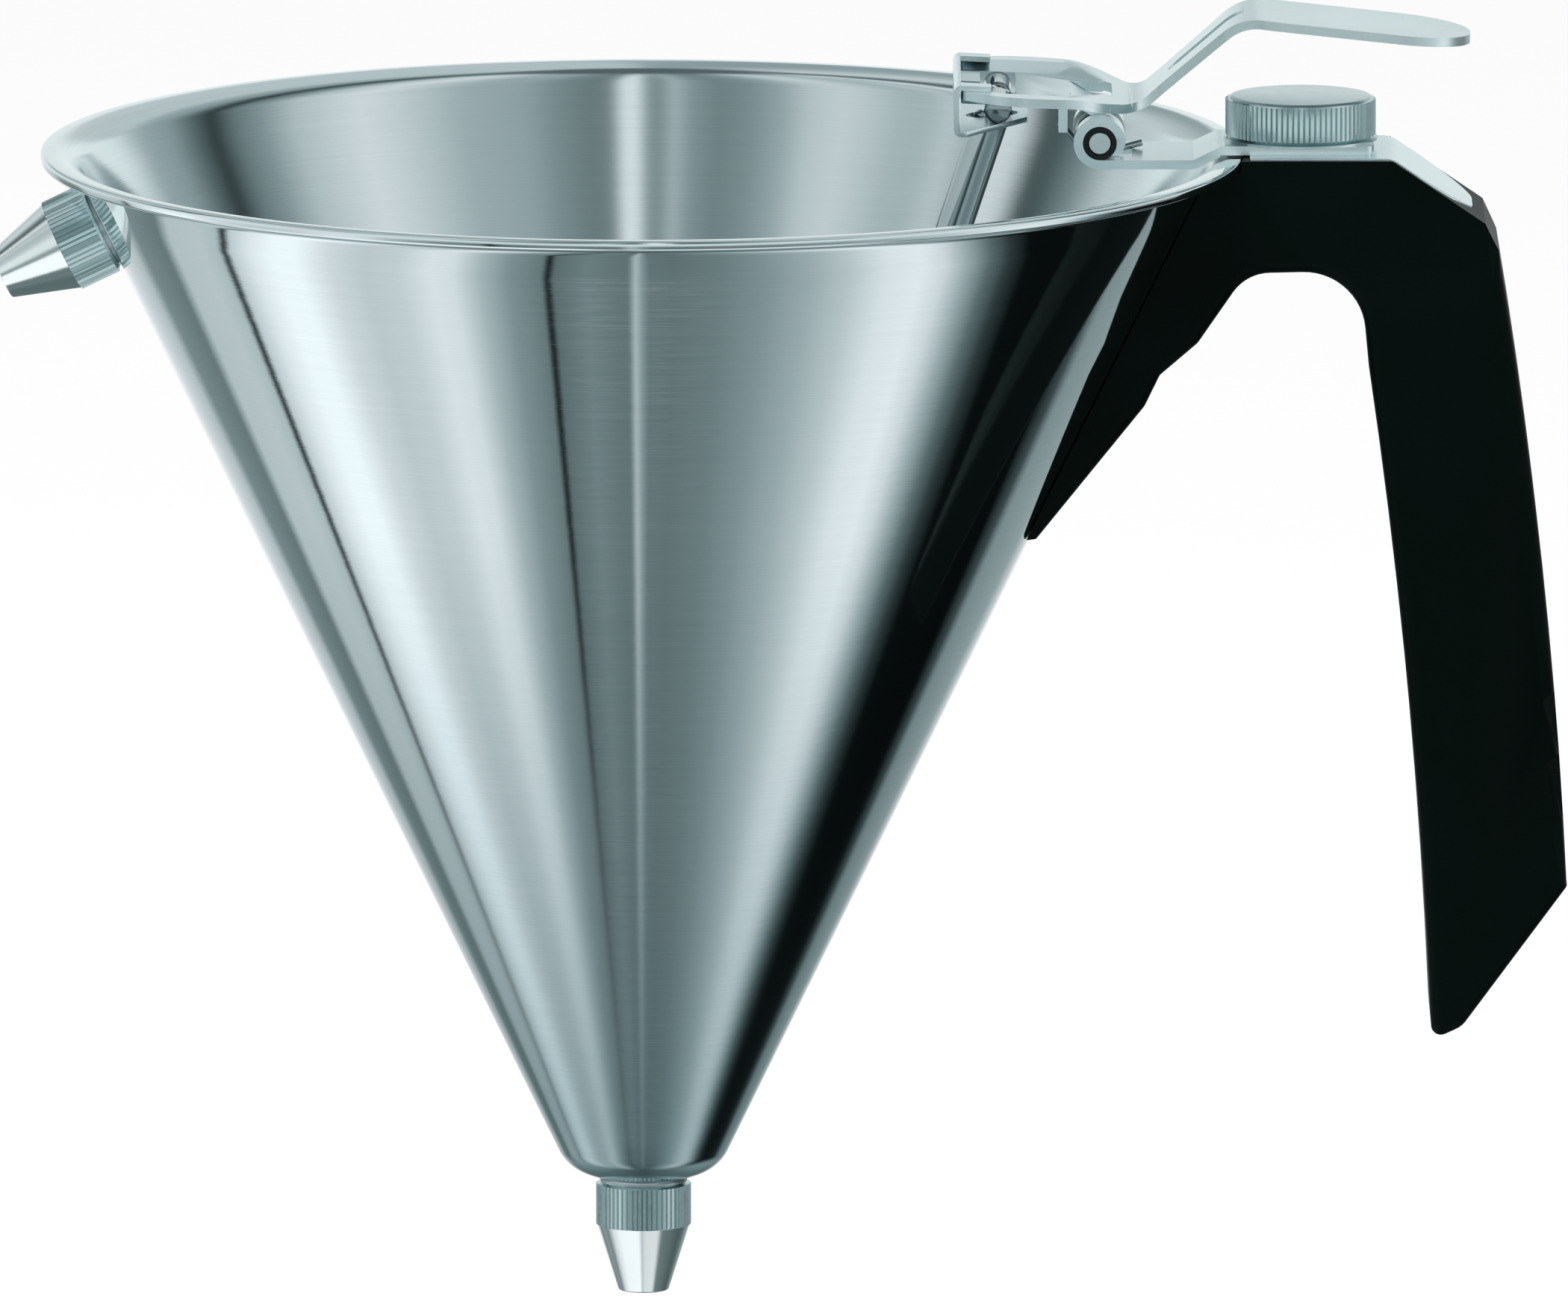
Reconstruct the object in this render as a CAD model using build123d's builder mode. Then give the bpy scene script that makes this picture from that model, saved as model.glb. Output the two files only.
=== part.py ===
"""Piston funnel: a steel cone with a closing plug on a rod, lifted by a sprung thumb lever on the handle.

Lengths are in millimetres. The origin is the centre of the mouth, in the plane of the rim's top.
+Z points up, +X points to the handle, and Y is across the lever.
"""

import os
from math import atan2, cos, degrees, hypot, pi, radians, sin, sqrt, tan

from build123d import *

# Cutters reach past what they cut by this much
overshoot = 1.0

# Funnel cone
rim_d = 185.0
lip_width = 4.0
cone_half_angle = 25.8
cone_bottom_d = 23.2
wall = 0.9
lip_bend_r = 4.0
rim_edge_height = 1.6
rim_edge_width = 1.4
neck_d = 13.5
neck_height = 0.8
shoulder_rise = 1.0
shoulder_bend_r = 7.0
neck_bend_r = 0.6

# Outlet spout and nozzles
thread_step = 0.65
thread_clearance = 0.05
spout_insert = 2.5
seat_cover = 0.65
seat_wall = 1.0
seat_height = 1.8
seat_sink = 0.4
seat_ledge = 0.2
nozzle_collar_wall = 1.25
nozzle_collar_height = 6.8
nozzle_step = 0.2
nozzle_cone_height = 10.3
nozzle_tip_wall = 1.25
nozzle_bore = 5.2
nozzle_bore_length = 7.0
nozzle_teeth = 55
thread_relief = 0.6
seal_thickness = 0.8
spare_height = 11.9
spare_gap = 0.4
edge_chamfer = 0.5

# Closing plug and rod
plug_overlap = 1.05
plug_gap = 0.3
plug_socket_depth = 3.5
rod_d = 5.5
rod_spigot_d = 3.0
rod_shoulder_gap = 0.6
spigot_drop = 0.5
cross_bar_d = 4.2
cross_bar_length = 24.0
cross_bar_waist = 5.7
cross_bar_waist_depth = 0.3
cross_bar_chamfer = 0.4
cross_bar_sink = 0.1
running_gap = 0.3

# Hinge
sheet = 1.4
pin_inset = 22.4
knuckle_d = 8.0
pin_clearance = 0.05
pin_chamfer = 0.25
bush_wall = 0.75
bracket_half_width = 9.5
bracket_knuckle_width = 3.5
lever_knuckle_width = 2.7
knuckle_side_gap = 0.25
bracket_roll = 255.0
lever_roll = 235.0

# Torsion spring
spring_wire_d = 1.0
spring_turns = 3
spring_pitch = 1.45
spring_bore_gap = 0.2
spring_rest_angle = 14.0
spring_pull_angle = 50.0
spring_rest_length = 6.0
spring_pull_length = 5.6

# Bracket plate and clamp
leg_drop = 1.7
bracket_end_reach = 11.2
bracket_plate_half_width = 8.5
joggle_outer_inset = 3.9
joggle_inner_inset = 7.9
bracket_slot_gap = 1.1
bracket_bend_r = 1.6
bracket_corner_r = 1.5
knob_reach = 8.5
knob_d = 23.1
knob_height = 6.3
knob_top_wall = 1.4
knob_teeth = 82
knurl_depth = 0.32
washer_overhang = 0.25
washer_thickness = 0.4
stud_d = 6.0
stud_length = 11.5
stud_clearance = 0.25
insert_wall = 2.0
insert_height = 9.0

# Handle. The grip's corners are measured from the rim's edge and down from its top, and the tail's
# corners out from the cone's wall.
handle_width = 26.0
handle_bend_reach = 22.5
shoulder_corner = (36.7, -9.6)
grip_top_out = (38.8, -14.0)
grip_middle_out = (45.6, -62.5)
grip_bottom_out = (49.5, -112.0)
grip_heel = (49.6, -113.0)
grip_toe = (33.5, -134.9)
grip_tip = (28.9, -137.0)
grip_bottom_in = (28.6, -133.0)
grip_middle_in = (24.4, -76.0)
grip_top_in = (18.9, -32.0)
arch_right = (17.5, -17.2)
arch_left = (0.1, -17.6)
tail_kink = (10.4, -28.4)
tail_notch = (7.0, -33.4)
tail_root = (7.0, -38.2)
tail_tip = (0.4, -58.8)
handle_overlap = 8.0
toe_radii = [0.8, 4, 1.5]
back_radii = [9.5, 7, 3, 1.2, 3]
cap_width = 24.0
cap_thickness = 1.2
cap_proud = 0.3
cap_end_gap = 1.8
cap_start_gap = 0.6
cap_end_r = 9.0
cap_bend_r = 4.0
pocket_gap = 0.1
lip_gap = 0.15
grip_round = 2.0
tang_width = 12.0
tang_thickness = 2.2
tang_top = 10.0
tang_bottom = 50.0
screw_drop = 39.0
screw_d = 4.0
screw_head_d = 7.2
screw_head_height = 1.6
screw_sink = 0.6

# Lever. Its corners are measured from the hinge pin's axis.
lever_left = (-21.3, 9.3)
leaf_bend = (-3.6, 8.4)
waist_bend = (5.7, 5.9)
pad_bend = (21.7, 19.7)
pad_end = (56.9, 15.8)
leaf_half_width = 21.2
leaf_left_half_width = 17.0
waist_half_width = 8.2
pad_half_width = 11.8
leaf_corner_run = 6.5
leaf_bulge = 0.6
bend_run = 1.2
waist_run = 12.5
waist_flare = 1.0
pad_run = 4.0
lever_plan_radii = [2, 12, 12, 6, 20, 14, 11]
lever_bend_radii = [16, 4.5, 8]
dish_drop = 1.2
dish_run = 4.9
dish_left_run = 2.0
dish_left_length = 7.0
dish_floor_turn = -6.5
dish_floor_end = (1.8, 5.0)
dish_edge_turn = -3.5
dish_edge_end = (2.4, 9.0)
window_gap = 0.6
window_slot_width = 2.6
tongue_width = 12.6
tongue_start = -4.6
tongue_end = 1.9
pad_slot_width = 3.0
pad_slot_start = 10.5
pad_slot_end = 22.1
lug_reach = 5.6
lug_width = 3.2
lug_bottom = 0.9

# Cross bar and the strap clip that carries it
bar_reach = 15.6
clip_sheet = 0.8
clip_seat_gap = 0.02
clip_top_reach = 1.1
clip_flap_reach = 4.5
clip_flap_rise = 0.6
clip_arm_width = 3.4
clip_half_width = 17.0
clip_tip_half_width = 5.0
clip_straight = 1.2
clip_slot_play = 0.4
clip_slot_left = 4.9
clip_slot_right = 3.1

# Worked out from the dimensions above
slope = tan(radians(cone_half_angle))
rim_r = rim_d / 2
cone_top_r = rim_r - lip_width
corner_z = (cone_bottom_d / 2 - cone_top_r) / slope
shoulder_z = corner_z - shoulder_rise
neck_z = shoulder_z - neck_height
neck_r = neck_d / 2
spout_insert_r = neck_r - wall
thread_r = neck_r - thread_step
seat_r = spout_insert_r - seat_cover
seat_bore_r = seat_r - seat_wall
spout_bore_r = seat_bore_r - seat_ledge
seat_top_z = neck_z + spout_insert - seat_sink
seat_edge_r = seat_bore_r + seat_wall / 2
nozzle_collar_r = thread_r + nozzle_collar_wall
nozzle_length = nozzle_collar_height + nozzle_cone_height
spout_length = nozzle_collar_height - thread_relief
plug_r = seat_edge_r + plug_overlap
plug_z = seat_top_z - seat_wall / 2 + sqrt(plug_r**2 - seat_edge_r**2) + plug_gap
knuckle_r = knuckle_d / 2
eye_r = knuckle_r - sheet
pin_r = eye_r - pin_clearance
pin_end_r = eye_r - bush_wall
pin_x = rim_r - pin_inset
pin_z = knuckle_r - leg_drop
plate_top_z = cap_proud + sheet
washer_top_z = plate_top_z + washer_thickness
knob_x = rim_r + knob_reach
spring_r = pin_r + spring_bore_gap + spring_wire_d / 2
spring_total_turns = spring_turns + (spring_rest_angle + spring_pull_angle) / 360
bar_x = pin_x - bar_reach
leaf_fall = (lever_left[1] - leaf_bend[1]) / (leaf_bend[0] - lever_left[0])
bar_top_z = pin_z + lever_left[1] - leaf_fall * (-bar_reach - lever_left[0]) - dish_drop - cross_bar_sink
bar_z = bar_top_z - cross_bar_d / 2

os.makedirs("parts", exist_ok=True)


def cone_radius(z):
    """Outside radius of the straight cone at height z."""
    return cone_top_r + z * slope


def finish(builder, label):
    """Label a finished piece and write its file."""
    builder.part.label = label
    export_step(builder.part, f"parts/{label}.step")


def outer_line():
    """Outside of the cone's sheet from the neck's lower end up to the rim edge, in the XZ plane."""
    bend = radians(90 - cone_half_angle)
    bend_start_z = -wall - lip_bend_r * (1 - cos(bend))
    bend_start = (cone_radius(bend_start_z), bend_start_z)
    bend_end = (bend_start[0] + lip_bend_r * sin(bend), -wall)
    bottom = FilletPolyline(
        (neck_r, neck_z),
        (neck_r, shoulder_z),
        (cone_radius(corner_z), corner_z),
        bend_start,
        radius=[neck_bend_r, shoulder_bend_r],
    )
    lip = RadiusArc(bottom @ 1, bend_end, lip_bend_r)
    edge = Line(lip @ 1, (rim_r, -wall))
    return [bottom, lip, edge]


def funnel_envelope(gap):
    """Everything inside the funnel's outer skin, grown by a gap, as a cutter for what fits against it."""
    with BuildPart() as envelope:
        with BuildSketch(Plane.XZ):
            with BuildLine():
                line = outer_line()
                Polyline(
                    line[2] @ 1,
                    (rim_r, overshoot),
                    (0, overshoot),
                    (0, neck_z),
                    (neck_r, neck_z),
                )
            make_face()
            with Locations((rim_r - rim_edge_width, -rim_edge_height)):
                Rectangle(rim_edge_width, rim_edge_height + overshoot, align=(Align.MIN, Align.MIN))
            if gap:
                offset(amount=gap, kind=Kind.INTERSECTION)
                with Locations((0, 0)):
                    Rectangle(gap * 4, -4 * neck_z, align=(Align.MAX, Align.CENTER), mode=Mode.SUBTRACT)
        revolve(axis=Axis.Z)
    return envelope.part


def make_funnel_body():
    """Drawn cone with its flared lip, hemmed rim edge and short neck."""
    with BuildPart() as body:
        with BuildSketch(Plane.XZ):
            with BuildLine():
                offset(outer_line(), amount=wall, side=Side.LEFT)
            make_face()
            with Locations((rim_r - rim_edge_width, -rim_edge_height)):
                hem = Rectangle(rim_edge_width, rim_edge_height, align=(Align.MIN, Align.MIN))
            rim_corners = hem.vertices().sort_by(Axis.X)[-2:]
            fillet(rim_corners, radius=rim_edge_width / 3)
        revolve(axis=Axis.Z)
    return body


def make_spout():
    """Turned spout that is welded into the neck: a recess for the seat, a bore and the nozzle's thread."""
    with BuildPart() as spout:
        with BuildSketch(Plane.XY.offset(neck_z)):
            Circle(spout_insert_r)
        extrude(amount=spout_insert)
        with BuildSketch(Plane.XY.offset(neck_z)):
            Circle(thread_r)
        extrude(amount=-spout_length)
        with BuildSketch(Plane.XY.offset(neck_z + spout_insert)):
            Circle(spout_bore_r)
        extrude(amount=-(spout_insert + spout_length), mode=Mode.SUBTRACT)
        with BuildSketch(Plane.XY.offset(neck_z + spout_insert)):
            Circle(seat_r)
        extrude(amount=-seat_height - seat_sink, mode=Mode.SUBTRACT)
    return spout


def make_seat():
    """Soft ring in the spout that the plug closes on."""
    with BuildPart() as seat:
        with BuildSketch(Plane.XZ):
            with BuildLine():
                Polyline(
                    (seat_bore_r, seat_top_z - seat_wall),
                    (seat_r, seat_top_z),
                    (seat_r, seat_top_z - seat_height),
                    (seat_bore_r, seat_top_z - seat_height),
                    close=True,
                )
            make_face()
        revolve(axis=Axis.Z)
    return seat


def knurl_sketch(plane, diameter, teeth):
    """Section of a straight knurl: a disc with a row of small vee grooves."""
    with BuildSketch(plane) as section:
        Circle(diameter / 2)
        with PolarLocations(diameter / 2, teeth):
            RegularPolygon(radius=knurl_depth, side_count=4, mode=Mode.SUBTRACT)
    return section.sketch


def make_nozzle(base):
    """Screw-on nozzle: knurled collar and bored cone. The base plane's normal points to its tip."""
    core_r = nozzle_collar_r - knurl_depth
    cavity_depth = spout_length + seal_thickness
    bore_start = nozzle_length - nozzle_bore_length
    with BuildPart() as nozzle:
        with BuildSketch(base):
            Circle(core_r)
        extrude(amount=nozzle_collar_height)
        chamfer(edges().filter_by(GeomType.CIRCLE).sort_by(Axis(base.origin, base.z_dir))[0], edge_chamfer)
        extrude(
            knurl_sketch(base.offset(edge_chamfer), 2 * nozzle_collar_r, nozzle_teeth),
            amount=nozzle_collar_height - edge_chamfer,
        )
        with BuildSketch(base.offset(nozzle_collar_height)):
            Circle(nozzle_collar_r - nozzle_step)
        with BuildSketch(base.offset(nozzle_length)):
            Circle(nozzle_bore / 2 + nozzle_tip_wall)
        loft()
        with BuildSketch(base):
            Circle(thread_r + thread_clearance)
        extrude(amount=cavity_depth, mode=Mode.SUBTRACT)
        with BuildSketch(base.offset(cavity_depth)):
            Circle(spout_bore_r)
        with BuildSketch(base.offset(bore_start)):
            Circle(nozzle_bore / 2)
        loft(mode=Mode.SUBTRACT)
        with BuildSketch(base.offset(bore_start)):
            Circle(nozzle_bore / 2)
        extrude(amount=nozzle_bore_length, mode=Mode.SUBTRACT)
    return nozzle


def make_nozzle_seal():
    """Flat sealing ring between the spout's end and the nozzle."""
    with BuildPart() as seal:
        with BuildSketch(Plane.XY.offset(neck_z - spout_length)):
            Circle(thread_r - thread_clearance)
            Circle(spout_bore_r, mode=Mode.SUBTRACT)
        extrude(amount=-seal_thickness)
    return seal


def spare_plane():
    """Plane on the cone's wall where the spare nozzle is parked. Its normal points out of the wall."""
    tilt = radians(cone_half_angle)
    return Plane(
        origin=(-cone_radius(-spare_height), 0, -spare_height),
        x_dir=(0, 1, 0),
        z_dir=(-cos(tilt), 0, -sin(tilt)),
    )


def make_spare_stud():
    """Threaded stud welded to the wall for the spare nozzle, cut to the cone where it sits on it."""
    base = spare_plane()
    with BuildPart() as stud:
        with BuildSketch(base.offset(-2 * overshoot)):
            Circle(thread_r)
        extrude(amount=2 * overshoot + spare_gap + spout_length - thread_relief)
        chamfer(edges().filter_by(GeomType.CIRCLE).sort_by(Axis(base.origin, base.z_dir))[-1], edge_chamfer)
        add(funnel_envelope(0), mode=Mode.SUBTRACT)
    return stud


def rod_plane():
    """Plane at the plug's centre with its normal along the rod, up to the cross bar."""
    run = Vector(bar_x, 0, bar_z - plug_z)
    return Plane(origin=(0, 0, plug_z), x_dir=(0, 1, 0), z_dir=run.normalized())


def rod_run():
    """Distance from the plug's centre to the cross bar's axis."""
    return hypot(bar_x, bar_z - plug_z)


def make_plug():
    """Ball that closes the outlet, with a blind socket for the rod."""
    with BuildPart() as plug:
        with BuildSketch(Plane.XZ):
            with BuildLine():
                arc = CenterArc((0, plug_z), plug_r, -90, 180)
                Line(arc @ 1, arc @ 0)
            make_face()
        revolve(axis=Axis.Z)
        with BuildSketch(rod_plane().offset(plug_r - plug_socket_depth)):
            Circle(rod_d / 2)
        extrude(amount=plug_socket_depth * 2, mode=Mode.SUBTRACT)
    return plug


def make_rod():
    """Straight rod from the plug up to the cross bar, with a riveted spigot through the bar."""
    shoulder = rod_run() - cross_bar_d / 2 - rod_shoulder_gap
    start = plug_r - plug_socket_depth
    with BuildPart() as rod:
        with BuildSketch(rod_plane().offset(start)):
            Circle(rod_d / 2)
        extrude(amount=shoulder - start)
        axis = Axis(rod_plane().origin, rod_plane().z_dir)
        chamfer(edges().filter_by(GeomType.CIRCLE).sort_by(axis)[-1], edge_chamfer)
        with BuildSketch(rod_plane().offset(shoulder)):
            Circle(rod_spigot_d / 2)
        extrude(amount=rod_run() + cross_bar_d / 2 - spigot_drop - shoulder)
    return rod


def make_cross_bar():
    """Cross bar at the rod's upper end, turned down in the middle, where the rod's spigot goes through it."""
    with BuildPart() as bar:
        with BuildSketch(Plane.XZ.offset(-cross_bar_length / 2)):
            with Locations((bar_x, bar_z)):
                Circle(cross_bar_d / 2)
        extrude(amount=cross_bar_length)
        chamfer(edges().filter_by(GeomType.CIRCLE), cross_bar_chamfer)
        with BuildSketch(Plane.XZ.offset(-cross_bar_waist / 2)):
            with Locations((bar_x, bar_z)):
                Circle(cross_bar_d)
                Circle(cross_bar_d / 2 - cross_bar_waist_depth, mode=Mode.SUBTRACT)
        extrude(amount=cross_bar_waist, mode=Mode.SUBTRACT)
        with BuildSketch(rod_plane().offset(rod_run() - cross_bar_d)):
            Circle(rod_spigot_d / 2)
        extrude(amount=2 * cross_bar_d, mode=Mode.SUBTRACT)
    return bar


def make_bracket():
    """Stamped bracket: a plate under the knob, a joggle over the rim and two knuckles for the pin."""
    plate_z = plate_top_z - sheet / 2
    leg_z = sheet / 2 - leg_drop
    end_x = knob_x + bracket_end_reach
    joggle_x = rim_r - joggle_outer_inset
    slot_end = pin_x + knuckle_r + bracket_slot_gap
    slot_start = pin_x - knuckle_d
    with BuildPart() as bracket:
        with BuildSketch(Plane.XZ):
            with BuildLine():
                FilletPolyline(
                    (end_x, plate_z),
                    (joggle_x, plate_z),
                    (rim_r - joggle_inner_inset, leg_z),
                    (pin_x, leg_z),
                    radius=bracket_bend_r,
                )
                CenterArc((pin_x, pin_z), knuckle_r - sheet / 2, -90, -bracket_roll)
            trace(line_width=sheet)
        extrude(amount=bracket_half_width, both=True)
        with BuildSketch(Plane.XY.offset(-knuckle_d)):
            with Locations(((slot_start + slot_end) / 2, 0)):
                Rectangle(slot_end - slot_start, 2 * (bracket_half_width - bracket_knuckle_width))
            for side in (-1, 1):
                with Locations((end_x, side * bracket_half_width)):
                    Rectangle(2 * (end_x - joggle_x), 2 * (bracket_half_width - bracket_plate_half_width))
            with Locations((knob_x, 0)):
                Circle(stud_d / 2 + stud_clearance)
        extrude(amount=3 * knuckle_d, mode=Mode.SUBTRACT)
        fillet(edges().filter_by(Axis.Z).group_by(Axis.X)[-1], radius=bracket_corner_r)
    return bracket


def make_pin():
    """Hinge pin: a thick middle that the lever turns on, and thinner ends in the bushes."""
    middle = bracket_half_width - bracket_knuckle_width
    with BuildPart() as pin:
        with BuildSketch(Plane.XZ.offset(-bracket_half_width)):
            with Locations((pin_x, pin_z)):
                Circle(pin_end_r)
        extrude(amount=2 * bracket_half_width)
        chamfer(edges().filter_by(GeomType.CIRCLE), pin_chamfer)
        with BuildSketch(Plane.XZ.offset(-middle)):
            with Locations((pin_x, pin_z)):
                Circle(pin_r)
        extrude(amount=2 * middle)
    return pin


def make_bushes():
    """Two dark bushes in the bracket's knuckles that carry the pin's ends."""
    with BuildPart() as bushes:
        for start in (-bracket_half_width, bracket_half_width - bracket_knuckle_width):
            with BuildSketch(Plane.XZ.offset(start)):
                with Locations((pin_x, pin_z)):
                    Circle(eye_r)
                    Circle(pin_end_r, mode=Mode.SUBTRACT)
            extrude(amount=bracket_knuckle_width)
    return bushes


def biarc(start, start_way, end, end_way):
    """Two tangent arcs between two points with given directions."""
    across = end - start
    ways = start_way + end_way
    spread = 2 * (1 - start_way.dot(end_way))
    along = across.dot(ways)
    reach = (-along + sqrt(along**2 + spread * across.dot(across))) / spread
    middle = (start + end + (start_way - end_way) * reach) / 2
    middle_way = (middle - start - start_way * reach).normalized()
    TangentArc(start, middle, tangent=start_way)
    TangentArc(middle, end, tangent=middle_way)


def spring_point(turn):
    """Point and direction of the spring's coil after a number of turns from its resting leg."""
    angle = radians(spring_rest_angle - 90) - 2 * pi * turn
    point = Vector(
        pin_x + spring_r * cos(angle),
        spring_pitch * (spring_total_turns / 2 - turn),
        pin_z + spring_r * sin(angle),
    )
    way = Vector(sin(angle), -spring_pitch / (2 * pi * spring_r), -cos(angle)).normalized()
    return point, way


def make_spring():
    """Torsion spring round the pin: one leg rests on the bracket, the other holds the lever's lug down."""
    steps = round(4 * spring_total_turns)
    with BuildPart() as spring:
        with BuildLine() as path:
            point, way = spring_point(0)
            Line(point - way * spring_rest_length, point)
            for step in range(steps):
                next_point, next_way = spring_point(spring_total_turns * (step + 1) / steps)
                biarc(point, way, next_point, next_way)
                point, way = next_point, next_way
            Line(point, point + way * spring_pull_length)
        with BuildSketch(Plane(origin=path.line @ 0, z_dir=path.line % 0)):
            Circle(spring_wire_d / 2)
        sweep(path=path.line)
    wire = path.wires()[0]
    print("spring: wire length", round(wire.length, 2), "mm, volume", round(spring.part.volume, 2))
    print("spring: section times length", round(wire.length * pi * spring_wire_d**2 / 4, 2))
    print("spring: least gap to itself", round(least_gap(wire, spring_wire_d), 3), "mm")
    return spring


def least_gap(wire, thickness):
    """Least gap of a tube to itself, measured between points of its path over half a turn apart."""
    count = 40 * (spring_turns + 1)
    points = [wire @ (index / count) for index in range(count + 1)]
    apart = int(pi * spring_r / wire.length * count)
    gaps = [
        (points[later] - points[index]).length
        for index in range(count)
        for later in range(index + apart, count + 1)
    ]
    return min(gaps) - thickness


def leaf_top(x):
    """Height of the front leaf's top surface at a place along X."""
    return pin_z + lever_left[1] - leaf_fall * (x - pin_x - lever_left[0])


def lever_corner(corner):
    """A corner of the lever in XZ, from its place relative to the pin."""
    return (pin_x + corner[0], pin_z + corner[1])


def lever_outline():
    """Plan outline of the lever on one side: leaf, waist and thumb pad."""
    left_x = pin_x + lever_left[0]
    waist_x = pin_x + waist_bend[0]
    pad_x = pin_x + pad_bend[0]
    end_x = pin_x + pad_end[0]
    FilletPolyline(
        (left_x, 0),
        (left_x, leaf_left_half_width),
        (left_x + leaf_corner_run, leaf_half_width + leaf_bulge),
        (pin_x + leaf_bend[0] + bend_run, leaf_half_width),
        (waist_x + bend_run, waist_half_width - leaf_bulge),
        (waist_x + waist_run, waist_half_width + waist_flare),
        (pad_x + pad_run, pad_half_width),
        (end_x, pad_half_width),
        (end_x, 0),
        radius=lever_plan_radii,
    )


def tongue_line():
    """Middle line of the tongue's straight part: its start in the leaf and where it meets the knuckle."""
    start = Vector(pin_x + tongue_start, leaf_top(pin_x + tongue_start) - dish_drop - sheet / 2)
    mid_r = knuckle_r - sheet / 2
    reach = hypot(start.X - pin_x, start.Y - pin_z)
    bearing = atan2(start.Y - pin_z, start.X - pin_x)
    touch = bearing - atan2(sqrt(reach**2 - mid_r**2), mid_r)
    meeting = Vector(pin_x + mid_r * cos(touch), pin_z + mid_r * sin(touch))
    return start, meeting, degrees(touch)


def tongue_strip():
    """Section of the tongue: out of the leaf, down to the pin and rolled over it."""
    start, meeting, touch = tongue_line()
    with BuildSketch(Plane.XZ) as strip:
        with BuildLine():
            Line(start, meeting)
            CenterArc((pin_x, pin_z), knuckle_r - sheet / 2, touch, -lever_roll)
        trace(line_width=sheet)
        with Locations(start):
            Circle(sheet / 2)
    return strip.sketch


def dish_outline(left_width, right_width, turn, end):
    """Plan outline of the dish at its floor or at its edge, measured from the pin along the leaf."""
    left = lever_left[0] - overshoot
    corner = lever_left[0] + dish_left_length
    side = [(left, left_width), (corner, right_width), (turn, right_width), end]
    Polyline(*side, *[(x, -y) for x, y in reversed(side)], close=True)


def dish_block(depth):
    """The leaf's pressed dish as a solid whose edge lies this far under the leaf's top."""
    floor = cross_bar_length / 2 + window_gap
    edge = Plane(
        origin=(pin_x, 0, leaf_top(pin_x) - depth),
        x_dir=(1, 0, -leaf_fall),
        z_dir=(leaf_fall, 0, 1),
    )
    with BuildPart() as block:
        with BuildSketch(edge):
            with BuildLine():
                dish_outline(floor + dish_left_run, floor + dish_run, dish_edge_turn, dish_edge_end)
            make_face()
        with BuildSketch(edge.offset(-dish_drop)):
            with BuildLine():
                dish_outline(floor, floor, dish_floor_turn, dish_floor_end)
            make_face()
        loft(ruled=True)
    return block.part


def make_lever():
    """One stamped sheet: dished leaf with its window and rolled tongue, waist and raised thumb pad."""
    middle = bracket_half_width - bracket_knuckle_width - knuckle_side_gap
    left_x = pin_x + lever_left[0]
    top_z = pin_z + pad_bend[1] + sheet
    lug_x = pin_x - lug_reach
    leg_point, leg_way = spring_point(spring_total_turns)
    lug_y = (leg_point + leg_way * ((leg_point.X - lug_x) / -leg_way.X)).Y
    lug_top = leaf_top(lug_x) - dish_drop - sheet / 2
    dish_top = dish_block(0)
    dish_under = dish_block(sheet)
    with BuildPart() as lever:
        with BuildSketch(Plane.XZ):
            with BuildLine():
                top = FilletPolyline(
                    (left_x - overshoot, leaf_top(left_x - overshoot)),
                    lever_corner(leaf_bend),
                    lever_corner(waist_bend),
                    lever_corner(pad_bend),
                    (pin_x + pad_end[0] + overshoot, pin_z + pad_end[1]),
                    radius=lever_bend_radii,
                )
                offset(top, amount=sheet, side=Side.RIGHT)
            make_face()
        extrude(amount=leaf_half_width + leaf_bulge + overshoot, both=True)
        add(dish_under)
        add(dish_top, mode=Mode.SUBTRACT)
        with BuildSketch(Plane.XY):
            with BuildLine():
                lever_outline()
                mirror(about=Plane.XZ)
            make_face()
        extrude(amount=top_z, mode=Mode.INTERSECT)
        with BuildSketch(Plane.XY):
            with Locations((bar_x, 0)):
                Rectangle(cross_bar_d + 2 * window_gap, cross_bar_length + 2 * window_gap)
            with Locations((left_x, 0)):
                Rectangle(2 * (bar_x - left_x), window_slot_width)
            with Locations((pin_x + (tongue_start + tongue_end) / 2, 0)):
                Rectangle(tongue_end - tongue_start, tongue_width)
            with Locations((pin_x + (pad_slot_start + pad_slot_end) / 2, 0)):
                SlotOverall(pad_slot_end - pad_slot_start, pad_slot_width)
        extrude(amount=top_z, mode=Mode.SUBTRACT)
        extrude(tongue_strip(), amount=middle, both=True)
        with BuildSketch(Plane.YZ.offset(lug_x - sheet / 2)):
            with Locations((lug_y, pin_z + lug_bottom)):
                Rectangle(lug_width, lug_top - pin_z - lug_bottom, align=(Align.CENTER, Align.MIN))
        extrude(amount=sheet)
        with BuildSketch(Plane(origin=leg_point, z_dir=leg_way)):
            Circle(spring_wire_d / 2 + running_gap / 2)
        extrude(amount=2 * spring_pull_length, mode=Mode.SUBTRACT)
        with BuildSketch(Plane.XZ):
            with Locations((pin_x, pin_z)):
                Circle(spring_r + spring_wire_d / 2 + running_gap)
        extrude(amount=middle - lever_knuckle_width, both=True, mode=Mode.SUBTRACT)
    return lever


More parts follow.
